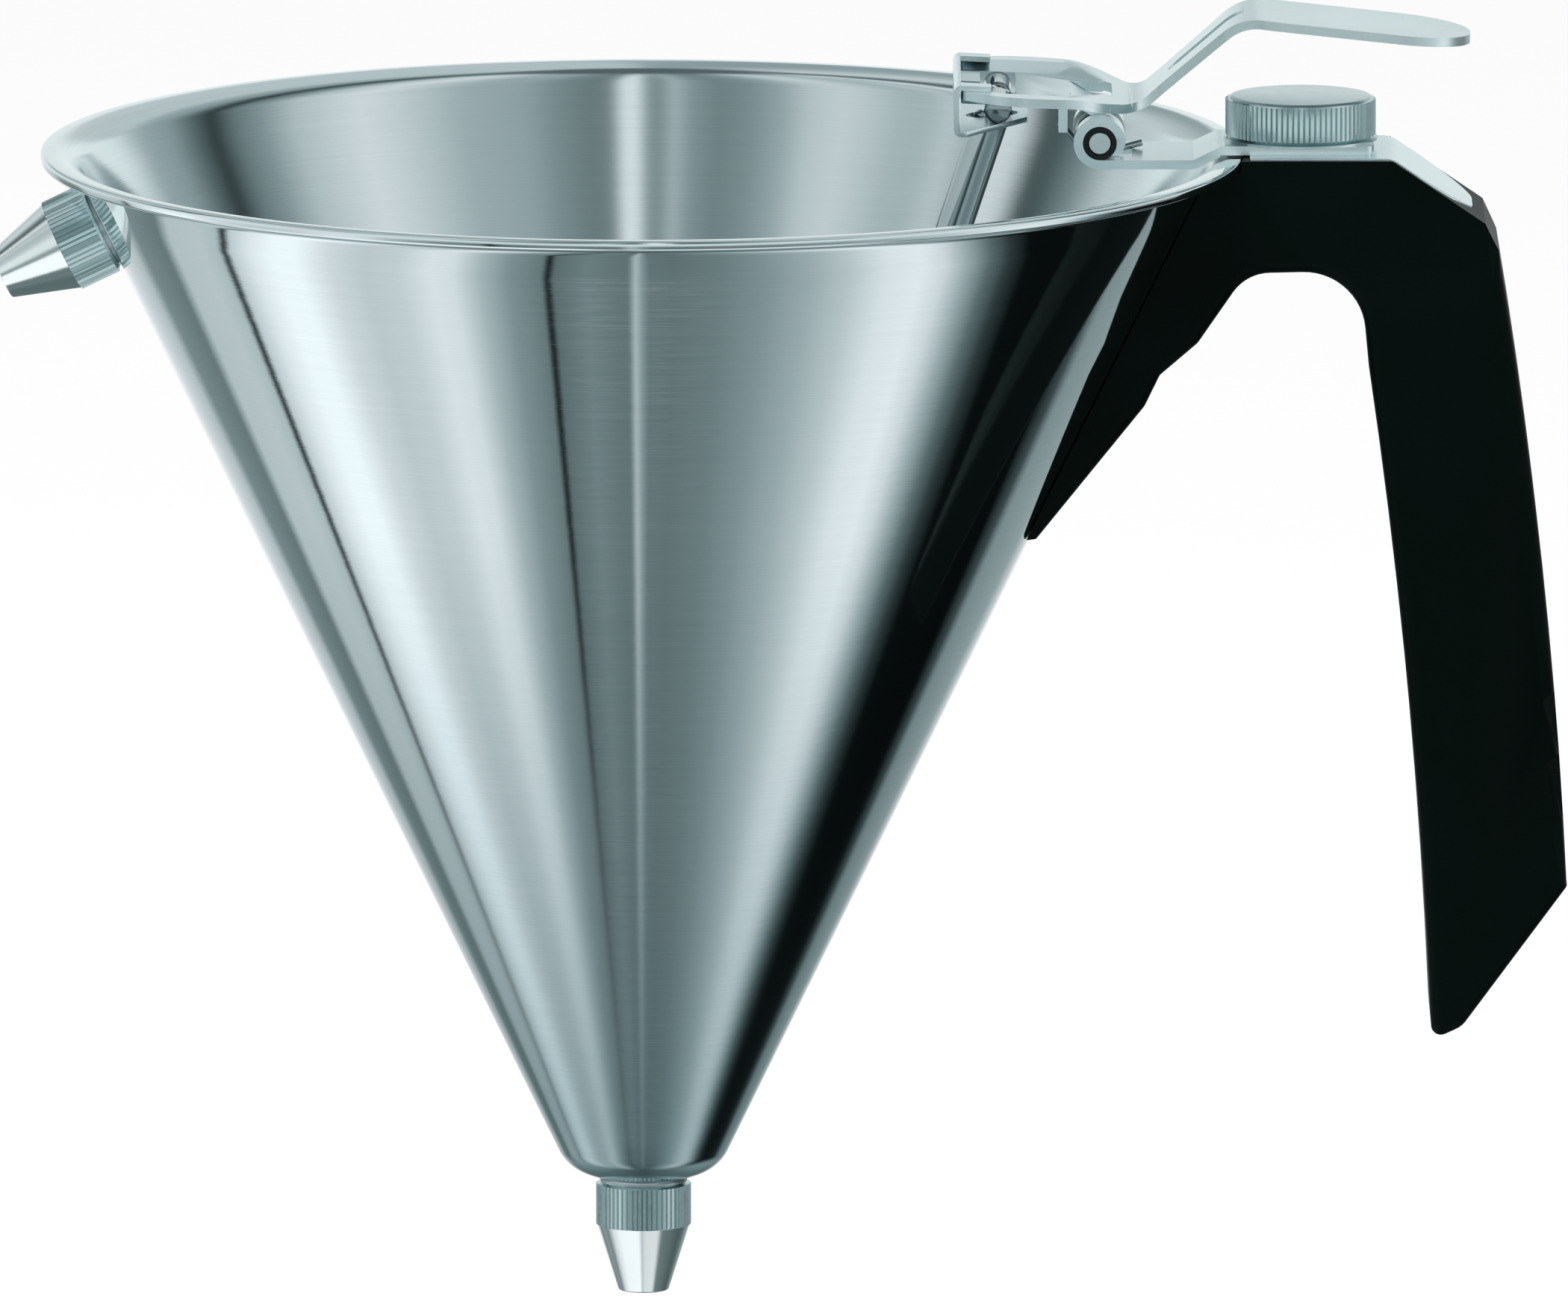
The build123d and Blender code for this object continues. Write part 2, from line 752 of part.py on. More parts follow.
def make_clip():
    """Strap clip wrapped round the leaf's left end, whose flap carries the cross bar."""
    left_x = pin_x + lever_left[0]
    inner_x = left_x - running_gap
    top_x = bar_x - clip_top_reach
    tip_x = bar_x + clip_flap_reach
    half_sheet = clip_sheet / 2
    rise = half_sheet * hypot(1, leaf_fall) + clip_seat_gap
    flap_slope = clip_flap_rise / (tip_x - inner_x)
    flap_z = bar_z - (cross_bar_d / 2 + running_gap + half_sheet) * hypot(1, flap_slope)
    with BuildPart() as clip:
        with BuildSketch(Plane.XZ):
            with BuildLine():
                FilletPolyline(
                    (top_x, leaf_top(top_x) + rise),
                    (inner_x - half_sheet, leaf_top(inner_x - half_sheet) + rise),
                    (inner_x - half_sheet, flap_z - flap_slope * (bar_x - inner_x + half_sheet)),
                    (tip_x, flap_z + flap_slope * (tip_x - bar_x)),
                    radius=running_gap + half_sheet,
                )
            trace(line_width=clip_sheet)
        extrude(amount=clip_half_width, both=True)
        with BuildSketch(Plane.XY):
            for side in (-1, 1):
                with BuildLine():
                    Polyline(
                        (inner_x + clip_straight, side * clip_half_width),
                        (tip_x, side * clip_tip_half_width),
                        (tip_x + overshoot, side * clip_half_width),
                        close=True,
                    )
                make_face()
            with Locations((bar_x + (clip_slot_right - clip_slot_left) / 2, 0)):
                SlotOverall(clip_slot_left + clip_slot_right, rod_d + 2 * clip_slot_play)
        extrude(amount=bar_z, mode=Mode.SUBTRACT)
        with BuildSketch(Plane.XY.offset(bar_top_z)):
            with Locations((left_x, 0)):
                Rectangle(
                    top_x + overshoot - left_x,
                    2 * (clip_half_width - clip_arm_width),
                    align=(Align.MIN, Align.CENTER),
                )
        extrude(amount=dish_drop + 2 * clip_sheet, mode=Mode.SUBTRACT)
    return clip


def make_washer():
    """Thin washer under the knob."""
    with BuildPart() as washer:
        with BuildSketch(Plane(origin=(knob_x, 0, plate_top_z))):
            Circle(knob_d / 2 + washer_overhang)
            Circle(stud_d / 2 + stud_clearance, mode=Mode.SUBTRACT)
        extrude(amount=washer_thickness)
    return washer


def make_knob():
    """Knurled clamp knob with a blind hole for its stud."""
    base = Plane(origin=(knob_x, 0, washer_top_z))
    with BuildPart() as knob:
        with BuildSketch(base):
            Circle(knob_d / 2 - knurl_depth)
        extrude(amount=knob_height)
        chamfer(edges().filter_by(GeomType.CIRCLE), edge_chamfer)
        extrude(
            knurl_sketch(base.offset(edge_chamfer), knob_d, knob_teeth),
            amount=knob_height - 2 * edge_chamfer,
        )
        with BuildSketch(base):
            Circle(stud_d / 2)
        extrude(amount=knob_height - knob_top_wall, mode=Mode.SUBTRACT)
    return knob


def make_stud():
    """Threaded stud pressed into the knob."""
    top_z = washer_top_z + knob_height - knob_top_wall
    with BuildPart() as stud:
        with BuildSketch(Plane(origin=(knob_x, 0, top_z))):
            Circle(stud_d / 2)
        extrude(amount=washer_top_z - top_z - stud_length)
        chamfer(edges().filter_by(GeomType.CIRCLE).sort_by(Axis.Z)[0], edge_chamfer)
    return stud


def make_insert():
    """Threaded hexagonal insert moulded into the handle below the cap plate."""
    with BuildPart() as insert:
        with BuildSketch(Plane(origin=(knob_x, 0, cap_proud - cap_thickness))):
            RegularPolygon(radius=stud_d / 2 + insert_wall, side_count=6, major_radius=False)
            Circle(stud_d / 2 + thread_clearance, mode=Mode.SUBTRACT)
        extrude(amount=-insert_height)
    return insert


def make_cap(gap=0.0):
    """Steel cap plate let into the handle's top, level and then slanted, with a rounded end.

    Grown by a gap it's the cutter for its pocket.
    """
    bend_x = rim_r + handle_bend_reach
    fall = shoulder_corner[1] / (shoulder_corner[0] - handle_bend_reach)
    start_x = rim_r + cap_start_gap - gap
    end_x = rim_r + shoulder_corner[0] - cap_end_gap + gap
    half_width = cap_width / 2 + gap
    with BuildPart() as cap:
        with BuildSketch(Plane.XZ):
            with BuildLine():
                top = FilletPolyline(
                    (start_x, cap_proud),
                    (bend_x, cap_proud),
                    (end_x + overshoot, cap_proud + fall * (end_x + overshoot - bend_x)),
                    radius=cap_bend_r,
                )
                offset(top, amount=cap_thickness, side=Side.RIGHT)
            make_face()
        extrude(amount=half_width, both=True)
        with BuildSketch(Plane.XY.offset(cap_proud + overshoot)):
            with Locations((start_x, 0)):
                outline = Rectangle(end_x - start_x, 2 * half_width, align=(Align.MIN, Align.CENTER))
            fillet(outline.vertices().sort_by(Axis.X)[-2:], radius=cap_end_r)
        extrude(amount=3 * shoulder_corner[1], mode=Mode.INTERSECT)
        if not gap:
            with BuildSketch(Plane(origin=(knob_x, 0, cap_proud))):
                Circle(stud_d / 2 + stud_clearance)
            extrude(amount=-cap_thickness, mode=Mode.SUBTRACT)
    return cap


def wall_corner(corner):
    """A corner in XZ from its distance out from the cone's wall and its height."""
    return (cone_radius(corner[1]) + corner[0], corner[1])


def rim_corner(corner):
    """A corner in XZ from its distance out from the rim's edge and its height."""
    return (rim_r + corner[0], corner[1])


def wall_plane():
    """Plane on the cone's wall behind the handle, where the screw goes in."""
    tilt = radians(cone_half_angle)
    return Plane(
        origin=(cone_radius(-screw_drop), 0, -screw_drop),
        x_dir=(0, 1, 0),
        z_dir=(cos(tilt), 0, -sin(tilt)),
    )


def tail_thickness():
    """Thickness of the handle's tail along the screw."""
    root = Vector(*wall_corner(tail_root))
    tip = Vector(*wall_corner(tail_tip))
    along = (tip - root).normalized()
    across = Vector(along.Y, -along.X)
    base = wall_plane()
    origin = Vector(base.origin.X, base.origin.Z)
    way = Vector(base.z_dir.X, base.z_dir.Z)
    return (root - origin).dot(across) / way.dot(across)


def make_tang(gap=0.0):
    """Steel tang welded along the cone's wall, which the handle's tail is screwed to.

    Grown by a gap it's the cutter for its pocket.
    """
    top_z = gap - tang_top
    bottom_z = -tang_bottom - gap
    out = tang_thickness / cos(radians(cone_half_angle)) + gap
    with BuildPart() as tang:
        with BuildSketch(Plane.XZ):
            with BuildLine():
                Polyline(
                    wall_corner((-wall, top_z)),
                    wall_corner((out, top_z)),
                    wall_corner((out, bottom_z)),
                    wall_corner((-wall, bottom_z)),
                    close=True,
                )
            make_face()
        extrude(amount=tang_width / 2 + gap, both=True)
        add(funnel_envelope(0), mode=Mode.SUBTRACT)
        if not gap:
            with BuildSketch(wall_plane().offset(-wall)):
                Circle(screw_d / 2)
            extrude(amount=2 * wall + 2 * tang_thickness, mode=Mode.SUBTRACT)
    return tang


def make_screw():
    """Countersunk screw through the handle's tail into the tang, with a slot in its head."""
    base = wall_plane()
    head_top = tail_thickness() - screw_sink
    slot_width = screw_d / 4
    slot_depth = screw_head_height / 2
    with BuildPart() as screw:
        with BuildSketch(base.offset(running_gap)):
            Circle(screw_d / 2)
        extrude(amount=head_top - screw_head_height - running_gap)
        with BuildSketch(base.offset(head_top - screw_head_height)):
            Circle(screw_d / 2)
        with BuildSketch(base.offset(head_top)):
            Circle(screw_head_d / 2)
        loft()
        with BuildSketch(base.offset(head_top)):
            Rectangle(screw_head_d, slot_width)
        extrude(amount=-slot_depth, mode=Mode.SUBTRACT)
    return screw


def handle_block():
    """The handle's outline in XZ pulled to its width: top, slant, grip, arch and tail."""
    with BuildPart() as block:
        with BuildSketch(Plane.XZ):
            with BuildLine():
                tail_inside = wall_corner((-handle_overlap, tail_tip[1]))
                top_inside = wall_corner((-handle_overlap, 0))
                Polyline(
                    top_inside,
                    (rim_r + handle_bend_reach, 0),
                    rim_corner(shoulder_corner),
                    rim_corner(grip_top_out),
                )
                ThreePointArc(
                    rim_corner(grip_top_out),
                    rim_corner(grip_middle_out),
                    rim_corner(grip_bottom_out),
                )
                FilletPolyline(
                    rim_corner(grip_bottom_out),
                    rim_corner(grip_heel),
                    rim_corner(grip_toe),
                    rim_corner(grip_tip),
                    rim_corner(grip_bottom_in),
                    radius=toe_radii,
                )
                ThreePointArc(rim_corner(grip_bottom_in), rim_corner(grip_middle_in), rim_corner(grip_top_in))
                FilletPolyline(
                    rim_corner(grip_top_in),
                    rim_corner(arch_right),
                    rim_corner(arch_left),
                    wall_corner(tail_kink),
                    wall_corner(tail_notch),
                    wall_corner(tail_root),
                    wall_corner(tail_tip),
                    radius=back_radii,
                )
                Polyline(wall_corner(tail_tip), tail_inside, top_inside)
            make_face()
        extrude(amount=handle_width / 2, both=True)
        long_arcs = faces().filter_by(Axis.Y).edges().filter_by(GeomType.CIRCLE).sort_by(SortBy.LENGTH)[-4:]
        fillet(long_arcs, radius=grip_round)
    return block.part


def make_handle():
    """Moulded handle, cut to the funnel, with pockets for the cap, the insert, the tang and the screw."""
    base = wall_plane()
    with BuildPart() as handle:
        add(handle_block())
        add(funnel_envelope(lip_gap), mode=Mode.SUBTRACT)
        add(make_cap(pocket_gap).part, mode=Mode.SUBTRACT)
        add(make_tang(pocket_gap).part, mode=Mode.SUBTRACT)
        with BuildSketch(Plane(origin=(knob_x, 0, cap_proud))):
            RegularPolygon(radius=stud_d / 2 + insert_wall, side_count=6, major_radius=False)
        extrude(amount=-cap_thickness - insert_height, mode=Mode.SUBTRACT)
        with BuildSketch(Plane(origin=(knob_x, 0, cap_proud))):
            Circle(stud_d / 2 + stud_clearance)
        extrude(amount=-stud_length - 2 * stud_clearance, mode=Mode.SUBTRACT)
        with BuildSketch(base):
            Circle(screw_d / 2 + running_gap / 2)
        extrude(amount=2 * tail_thickness(), mode=Mode.SUBTRACT)
        with BuildSketch(base.offset(tail_thickness() - screw_sink - screw_head_height)):
            Circle(screw_head_d / 2 + running_gap / 2)
        extrude(amount=2 * screw_head_d, mode=Mode.SUBTRACT)
    return handle


makers = {
    "funnel_body": make_funnel_body,
    "outlet_spout": make_spout,
    "outlet_seat": make_seat,
    "nozzle_seal": make_nozzle_seal,
    "spare_nozzle_stud": make_spare_stud,
    "closing_plug": make_plug,
    "piston_rod": make_rod,
    "rod_cross_bar": make_cross_bar,
    "rod_clip": make_clip,
    "hinge_bracket": make_bracket,
    "hinge_pin": make_pin,
    "hinge_bushes": make_bushes,
    "lever_spring": make_spring,
    "lever": make_lever,
    "handle_body": make_handle,
    "handle_cap": make_cap,
    "handle_tang": make_tang,
    "handle_screw": make_screw,
    "clamp_insert": make_insert,
    "clamp_stud": make_stud,
    "clamp_washer": make_washer,
    "clamp_knob": make_knob,
}
for name, maker in makers.items():
    finish(maker(), name)

outlet_plane = Plane(origin=(0, 0, neck_z), x_dir=(1, 0, 0), z_dir=(0, 0, -1))
finish(make_nozzle(outlet_plane), "outlet_nozzle")
finish(make_nozzle(spare_plane().offset(spare_gap)), "spare_nozzle")
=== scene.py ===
"""Looks of a piston funnel: polished cone, knurled nozzles and knob, sprung thumb lever and black handle.

Sizes in the settings are in metres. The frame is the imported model's: origin at the centre of the mouth,
+Z up and +X towards the handle.
"""

import math

import bmesh
import bpy
from mathutils import Matrix, Vector


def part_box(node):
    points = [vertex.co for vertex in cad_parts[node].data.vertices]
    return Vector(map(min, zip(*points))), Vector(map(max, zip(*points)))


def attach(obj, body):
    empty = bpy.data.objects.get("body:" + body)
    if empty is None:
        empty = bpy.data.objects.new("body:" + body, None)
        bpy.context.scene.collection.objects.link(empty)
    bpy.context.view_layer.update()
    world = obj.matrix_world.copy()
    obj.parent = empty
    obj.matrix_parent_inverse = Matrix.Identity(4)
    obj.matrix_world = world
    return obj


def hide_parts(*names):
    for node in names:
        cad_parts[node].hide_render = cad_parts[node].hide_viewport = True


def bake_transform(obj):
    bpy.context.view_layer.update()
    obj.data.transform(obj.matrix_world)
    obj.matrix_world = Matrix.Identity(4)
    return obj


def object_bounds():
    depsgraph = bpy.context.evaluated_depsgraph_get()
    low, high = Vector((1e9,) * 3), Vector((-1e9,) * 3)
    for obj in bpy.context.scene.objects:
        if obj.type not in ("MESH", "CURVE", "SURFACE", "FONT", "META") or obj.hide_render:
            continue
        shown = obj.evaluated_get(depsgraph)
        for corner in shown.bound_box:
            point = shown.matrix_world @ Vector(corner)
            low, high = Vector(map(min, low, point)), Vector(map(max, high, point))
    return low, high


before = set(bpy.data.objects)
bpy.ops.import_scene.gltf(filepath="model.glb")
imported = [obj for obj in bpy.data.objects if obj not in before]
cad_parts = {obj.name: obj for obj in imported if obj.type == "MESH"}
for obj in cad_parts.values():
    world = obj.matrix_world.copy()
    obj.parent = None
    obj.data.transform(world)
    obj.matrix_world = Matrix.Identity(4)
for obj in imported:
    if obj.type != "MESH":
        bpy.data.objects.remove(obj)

bl_info = {
    "name": "Piston Funnel",
    "version": (1, 0, 0),
    "blender": (4, 5, 0),
    "location": "View3D > Sidebar > Funnel",
    "description": "Builds the visible pieces of a piston funnel round its CAD frame",
    "category": "Object",
}

MM = 0.001
CAD_LOW, CAD_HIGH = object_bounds()
KNOB_LOW, KNOB_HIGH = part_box("clamp_knob")
RIM_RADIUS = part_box("funnel_body")[1].x
NOZZLE_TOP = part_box("outlet_nozzle")[1].z


# Settings that a user would change


class FUNNEL_PG_cone(bpy.types.PropertyGroup):
    """Sizes and finish of the cone."""

    rim_radius: bpy.props.FloatProperty(
        name="Rim radius", description="Outer radius of the rim", default=RIM_RADIUS, subtype="DISTANCE", unit="LENGTH"
    )
    wall: bpy.props.FloatProperty(
        name="Wall", description="Thickness of the sheet", default=0.9 * MM, subtype="DISTANCE", unit="LENGTH"
    )
    half_angle: bpy.props.FloatProperty(
        name="Half angle", description="Angle of the wall to the axis", default=math.radians(25.8), subtype="ANGLE"
    )
    facets: bpy.props.IntProperty(name="Facets", description="Faces round the cone", default=360, min=48)
    colour: bpy.props.FloatVectorProperty(
        name="Colour", description="Colour of the polished steel", default=(0.71, 0.80, 0.815), subtype="COLOR", size=3
    )


class FUNNEL_PG_knurl(bpy.types.PropertyGroup):
    """Sizes of the knurled pieces."""

    nozzle_teeth: bpy.props.IntProperty(
        name="Nozzle teeth", description="Teeth round a nozzle's collar", default=55, min=8
    )
    knob_teeth: bpy.props.IntProperty(name="Knob teeth", description="Teeth round the knob", default=82, min=8)
    depth: bpy.props.FloatProperty(
        name="Depth", description="Height of a tooth", default=0.32 * MM, subtype="DISTANCE", unit="LENGTH"
    )
    colour: bpy.props.FloatVectorProperty(
        name="Colour", description="Colour of the knurled steel", default=(0.52, 0.65, 0.66), subtype="COLOR", size=3
    )


class FUNNEL_PG_sheet(bpy.types.PropertyGroup):
    """Finish of the stamped pieces."""

    edge: bpy.props.FloatProperty(
        name="Edge rounding", description="Rounding of a stamped edge", default=0.14 * MM, subtype="DISTANCE",
        unit="LENGTH",
    )
    colour: bpy.props.FloatVectorProperty(
        name="Colour", description="Colour of the stamped sheet", default=(0.75, 0.87, 0.89), subtype="COLOR", size=3
    )


class FUNNEL_PG_grip(bpy.types.PropertyGroup):
    """Finish of the handle."""

    edge: bpy.props.FloatProperty(
        name="Edge rounding", description="Rounding of the short edges", default=0.5 * MM, subtype="DISTANCE",
        unit="LENGTH",
    )
    colour: bpy.props.FloatVectorProperty(
        name="Colour", description="Colour of the plastic", default=(0.0004, 0.0034, 0.0026), subtype="COLOR", size=3
    )


class FUNNEL_PG_stage(bpy.types.PropertyGroup):
    """Camera and light."""

    distance: bpy.props.FloatProperty(
        name="Distance", description="From the camera to the funnel", default=6.0, subtype="DISTANCE", unit="LENGTH"
    )
    elevation: bpy.props.FloatProperty(
        name="Elevation", description="Height of the camera above the horizon", default=math.radians(9.5),
        subtype="ANGLE",
    )
    floor_drop: bpy.props.FloatProperty(
        name="Floor drop", description="Height of the nozzle's tip over the floor", default=0.09, subtype="DISTANCE",
        unit="LENGTH",
    )
    lamp_power: bpy.props.FloatProperty(
        name="Lamp power", description="Power of the soft lamp", default=26.0, unit="POWER"
    )
    fill: bpy.props.FloatProperty(
        name="Fill", description="Strength of the light from all round", default=0.60, min=0.0
    )


class FUNNEL_PG_settings(bpy.types.PropertyGroup):
    """All settings of the funnel."""

    cone: bpy.props.PointerProperty(type=FUNNEL_PG_cone)
    knurl: bpy.props.PointerProperty(type=FUNNEL_PG_knurl)
    sheet: bpy.props.PointerProperty(type=FUNNEL_PG_sheet)
    grip: bpy.props.PointerProperty(type=FUNNEL_PG_grip)
    stage: bpy.props.PointerProperty(type=FUNNEL_PG_stage)


# Shader helpers


class Shader:
    """Adds nodes to a tree, with inputs given as values or as sockets to link."""

    def __init__(self, tree):
        self.tree = tree
        tree.nodes.clear()

    def node(self, kind, values=None, **settings):
        made = self.tree.nodes.new(kind)
        for key, value in settings.items():
            setattr(made, key, value)
        for key, value in (values or {}).items():
            if isinstance(value, bpy.types.NodeSocket):
                self.tree.links.new(value, made.inputs[key])
            else:
                made.inputs[key].default_value = value
        return made

    def math(self, operation, first, second=0.0):
        return self.node("ShaderNodeMath", {0: first, 1: second}, operation=operation).outputs[0]

    def scaled_sum(self, value, factor, added):
        """The value times a factor, plus something."""
        return self.node("ShaderNodeMath", {0: value, 1: factor, 2: added}, operation="MULTIPLY_ADD").outputs[0]

    def span(self, value, start, end):
        """0 up to the start and 1 from the end on, with an even rise between them."""
        return self.node("ShaderNodeMapRange", {"Value": value, "From Min": start, "From Max": end}).outputs[0]

    def stretched(self, vector, scale):
        return self.node("ShaderNodeMapping", {"Vector": vector, "Scale": scale}).outputs[0]

    def ramp(self, value, stops):
        """Colours by a value from 0 to 1, given as pairs of a place and a colour."""
        made = self.node("ShaderNodeValToRGB", {0: value})
        ramp = made.color_ramp
        while len(ramp.elements) < len(stops):
            ramp.elements.new(1.0)
        for element, (place, colour) in zip(ramp.elements, stops):
            element.position = place
            element.color = (*colour, 1.0)
        return made.outputs[0]

    def mix(self, factor, first, second, blend="MIX"):
        """A blend of two colours, whose sockets have these numbers among the node's."""
        values = {0: factor, 6: first, 7: second}
        return self.node("ShaderNodeMix", values, data_type="RGBA", blend_type=blend).outputs[2]

    def noise(self, vector, scale, detail, roughness=0.5):
        values = {"Vector": vector, "Scale": scale, "Detail": detail, "Roughness": roughness}
        return self.node("ShaderNodeTexNoise", values).outputs[0]


def new_material(name):
    """A material without nodes, and the shader that adds them."""
    material = bpy.data.materials.new(name)
    material.use_nodes = True
    return material, Shader(material.node_tree)


def object_place(shader):
    """The piece's own coordinates."""
    return shader.node("ShaderNodeTexCoord").outputs["Object"]


def finish_material(shader, values):
    """Add the surface and the output."""
    surface = shader.node("ShaderNodeBsdfPrincipled", values)
    shader.node("ShaderNodeOutputMaterial", {"Surface": surface.outputs[0]})


def shaded(colour, share):
    """A colour made darker or lighter."""
    return tuple(share * part for part in colour)


# Heights of the finishes' relief
FINE_RELIEF = 0.02 * MM
MOULD_RELIEF = 0.03 * MM
RIPPLE_RELIEF = 0.1 * MM

# Heights on the cone between which its polish fades into the duller, rougher narrow end, which painted shade also
# darkens
SHADE_AND_DULL_FROM, SHADE_AND_DULL_TO = -50 * MM, -150 * MM

# How the cone's noise is stretched: the turn round the axis first, and then, last of the three, along the axis
TURN_SCALE = 1.6
BRUSH_LINES = (1.0, 1.0, 5200.0)
RIPPLES = (5.0, 1.0, 420.0)


def cone_steel(name, colour, roughness, brush, ripple, dull_and_painted_shade=0.0):
    """Steel of the cone, polished round its axis, with fine lines and slow ripples that make mirrored edges waver.

    Its narrow end is rougher, and painted shade makes it darker by the share given.
    """
    material, shader = new_material(name)
    place = object_place(shader)
    across, along, height = shader.node("ShaderNodeSeparateXYZ", {0: place}).outputs
    angle = shader.math("ARCTAN2", along, across)
    turn = shader.math("MULTIPLY", angle, TURN_SCALE)
    lines = shader.node("ShaderNodeCombineXYZ", {0: turn, 1: 0.0, 2: height}).outputs[0]
    fine = shader.noise(shader.stretched(lines, BRUSH_LINES), 1.0, 3.0, 0.6)
    waver = shader.noise(shader.stretched(lines, RIPPLES), 1.0, 2.0)
    spots = shader.noise(place, 24.0, 3.0)
    tone = shader.ramp(fine, [(0.3, shaded(colour, 0.93)), (0.7, colour)])
    spread = 0.03
    rough = shader.scaled_sum(spots, spread, roughness - spread / 2)
    if dull_and_painted_shade > 0:
        # Painted shade: the base colour darkens towards the narrow end, where the wall is also made rougher
        low = shader.span(height, SHADE_AND_DULL_FROM, SHADE_AND_DULL_TO)
        tone = shader.mix(low, tone, (0.92 - dull_and_painted_shade, 1 - dull_and_painted_shade, 1.01 - dull_and_painted_shade, 1.0), "MULTIPLY")
        rough = shader.scaled_sum(low, 0.25 * dull_and_painted_shade, rough)
    brushed = {"Strength": brush, "Distance": FINE_RELIEF, "Height": fine}
    brushed = shader.node("ShaderNodeBump", brushed).outputs[0]
    rippled = {"Strength": ripple, "Distance": RIPPLE_RELIEF, "Height": waver, "Normal": brushed}
    rippled = shader.node("ShaderNodeBump", rippled).outputs[0]
    finish_material(shader, {"Base Color": tone, "Metallic": 1.0, "Roughness": rough, "Normal": rippled})
    return material


def plain_steel(name, colour, roughness, grain_scale, grain=0.2, stretch=(1.0, 1.0, 1.0), spread=0.12):
    """Satin steel with a fine grain, stretched along the way that it was rolled or turned."""
    material, shader = new_material(name)
    place = object_place(shader)
    fine = shader.noise(shader.stretched(place, stretch), grain_scale, 3.0, 0.6)
    cloud = shader.noise(place, 60.0, 3.0)
    tone = shader.ramp(cloud, [(0.3, shaded(colour, 0.92)), (0.7, colour)])
    rough = shader.scaled_sum(fine, spread, roughness - spread / 2)
    bump = shader.node("ShaderNodeBump", {"Strength": grain, "Distance": FINE_RELIEF, "Height": fine}).outputs[0]
    finish_material(shader, {"Base Color": tone, "Metallic": 1.0, "Roughness": rough, "Normal": bump})
    return material


def moulded(name, colour, roughness, shine=0.5):
    """Moulded plastic or rubber with a fine matt grain."""
    material, shader = new_material(name)
    place = object_place(shader)
    grains = shader.noise(place, 2200.0, 2.0, 0.6)
    cloud = shader.noise(place, 40.0, 3.0)
    tone = shader.ramp(cloud, [(0.35, colour), (0.65, shaded(colour, 1.25))])
    spread = 0.08
    rough = shader.scaled_sum(cloud, spread, roughness - spread / 2)
    bump = shader.node("ShaderNodeBump", {"Strength": 0.25, "Distance": MOULD_RELIEF, "Height": grains}).outputs[0]
    values = {"Base Color": tone, "Roughness": rough, "IOR": 1.48, "Specular IOR Level": shine, "Normal": bump}
    finish_material(shader, values)
    return material


MATERIALS = {}


def make_materials(settings):
    """The finishes of the funnel's pieces: each one's colour and roughness come first."""
    wall = tuple(settings.cone.colour)
    knurl = tuple(settings.knurl.colour)
    sheet = tuple(settings.sheet.colour)
    MATERIALS.update(
        {
            # The outer wall carries painted shade that darkens it towards its narrow end
            "outer wall": cone_steel("Polished wall", wall, 0.04, 0.10, 0.05, dull_and_painted_shade=0.45),
            "inner wall": cone_steel("Brushed inner wall", wall, 0.11, 0.25, 0.05),
            "rim": plain_steel("Polished rim", wall, 0.08, 900.0, 0.1, spread=0.04),
            # Painted shade: the rod's and the plug's steel is darker than the cone's, standing in for the shade and
            # dark reflections about them
            "polished": plain_steel("Rod steel darkened by painted shade", (0.38, 0.45, 0.46), 0.07, 700.0, 0.08, spread=0.03),
            # Painted shade: the cross bar's steel is darker still, standing in for the shade under the lever where it
            # lies
            "bar": plain_steel("Turned bar steel darkened by painted shade", (0.26, 0.32, 0.33), 0.12, 700.0, 0.15, spread=0.05),
            "turned": plain_steel("Turned steel", (0.62, 0.73, 0.74), 0.24, 700.0, 0.2),
            "knurled": plain_steel("Knurled steel", knurl, 0.19, 1500.0, 0.25),
            "nozzle cone": plain_steel("Turned nozzle steel", (0.80, 0.87, 0.87), 0.15, 900.0, 0.2, spread=0.05),
            # Painted shade: the neck's steel is dark, standing in for the shade at the cone's neck, in the nozzles'
            # open ends and bores and on the spout and the spare nozzle's stud
            "neck": plain_steel("Neck steel darkened by painted shade", (0.36, 0.43, 0.44), 0.30, 900.0, 0.3),
            "stamped": plain_steel("Stamped sheet", sheet, 0.25, 1400.0, 0.12, stretch=(1.0, 3.0, 3.0)),
            "pin": plain_steel("Satin pin steel", (0.74, 0.84, 0.85), 0.46, 1800.0, 0.12),
            "wire": plain_steel("Drawn wire", (0.5, 0.55, 0.55), 0.25, 900.0),
            "plastic": moulded("Black plastic", tuple(settings.grip.colour), 0.42, shine=0.05),
            "bush": moulded("Dark bush", (0.006, 0.008, 0.008), 0.35, shine=0.3),
            "seal": moulded("White seal", (0.75, 0.75, 0.72), 0.5),
            "dark seal": moulded("Dark seal", (0.045, 0.055, 0.055), 0.5),
        }
    )


# Mesh helpers. Outlines are in metres, as (distance from the axis, height along it).


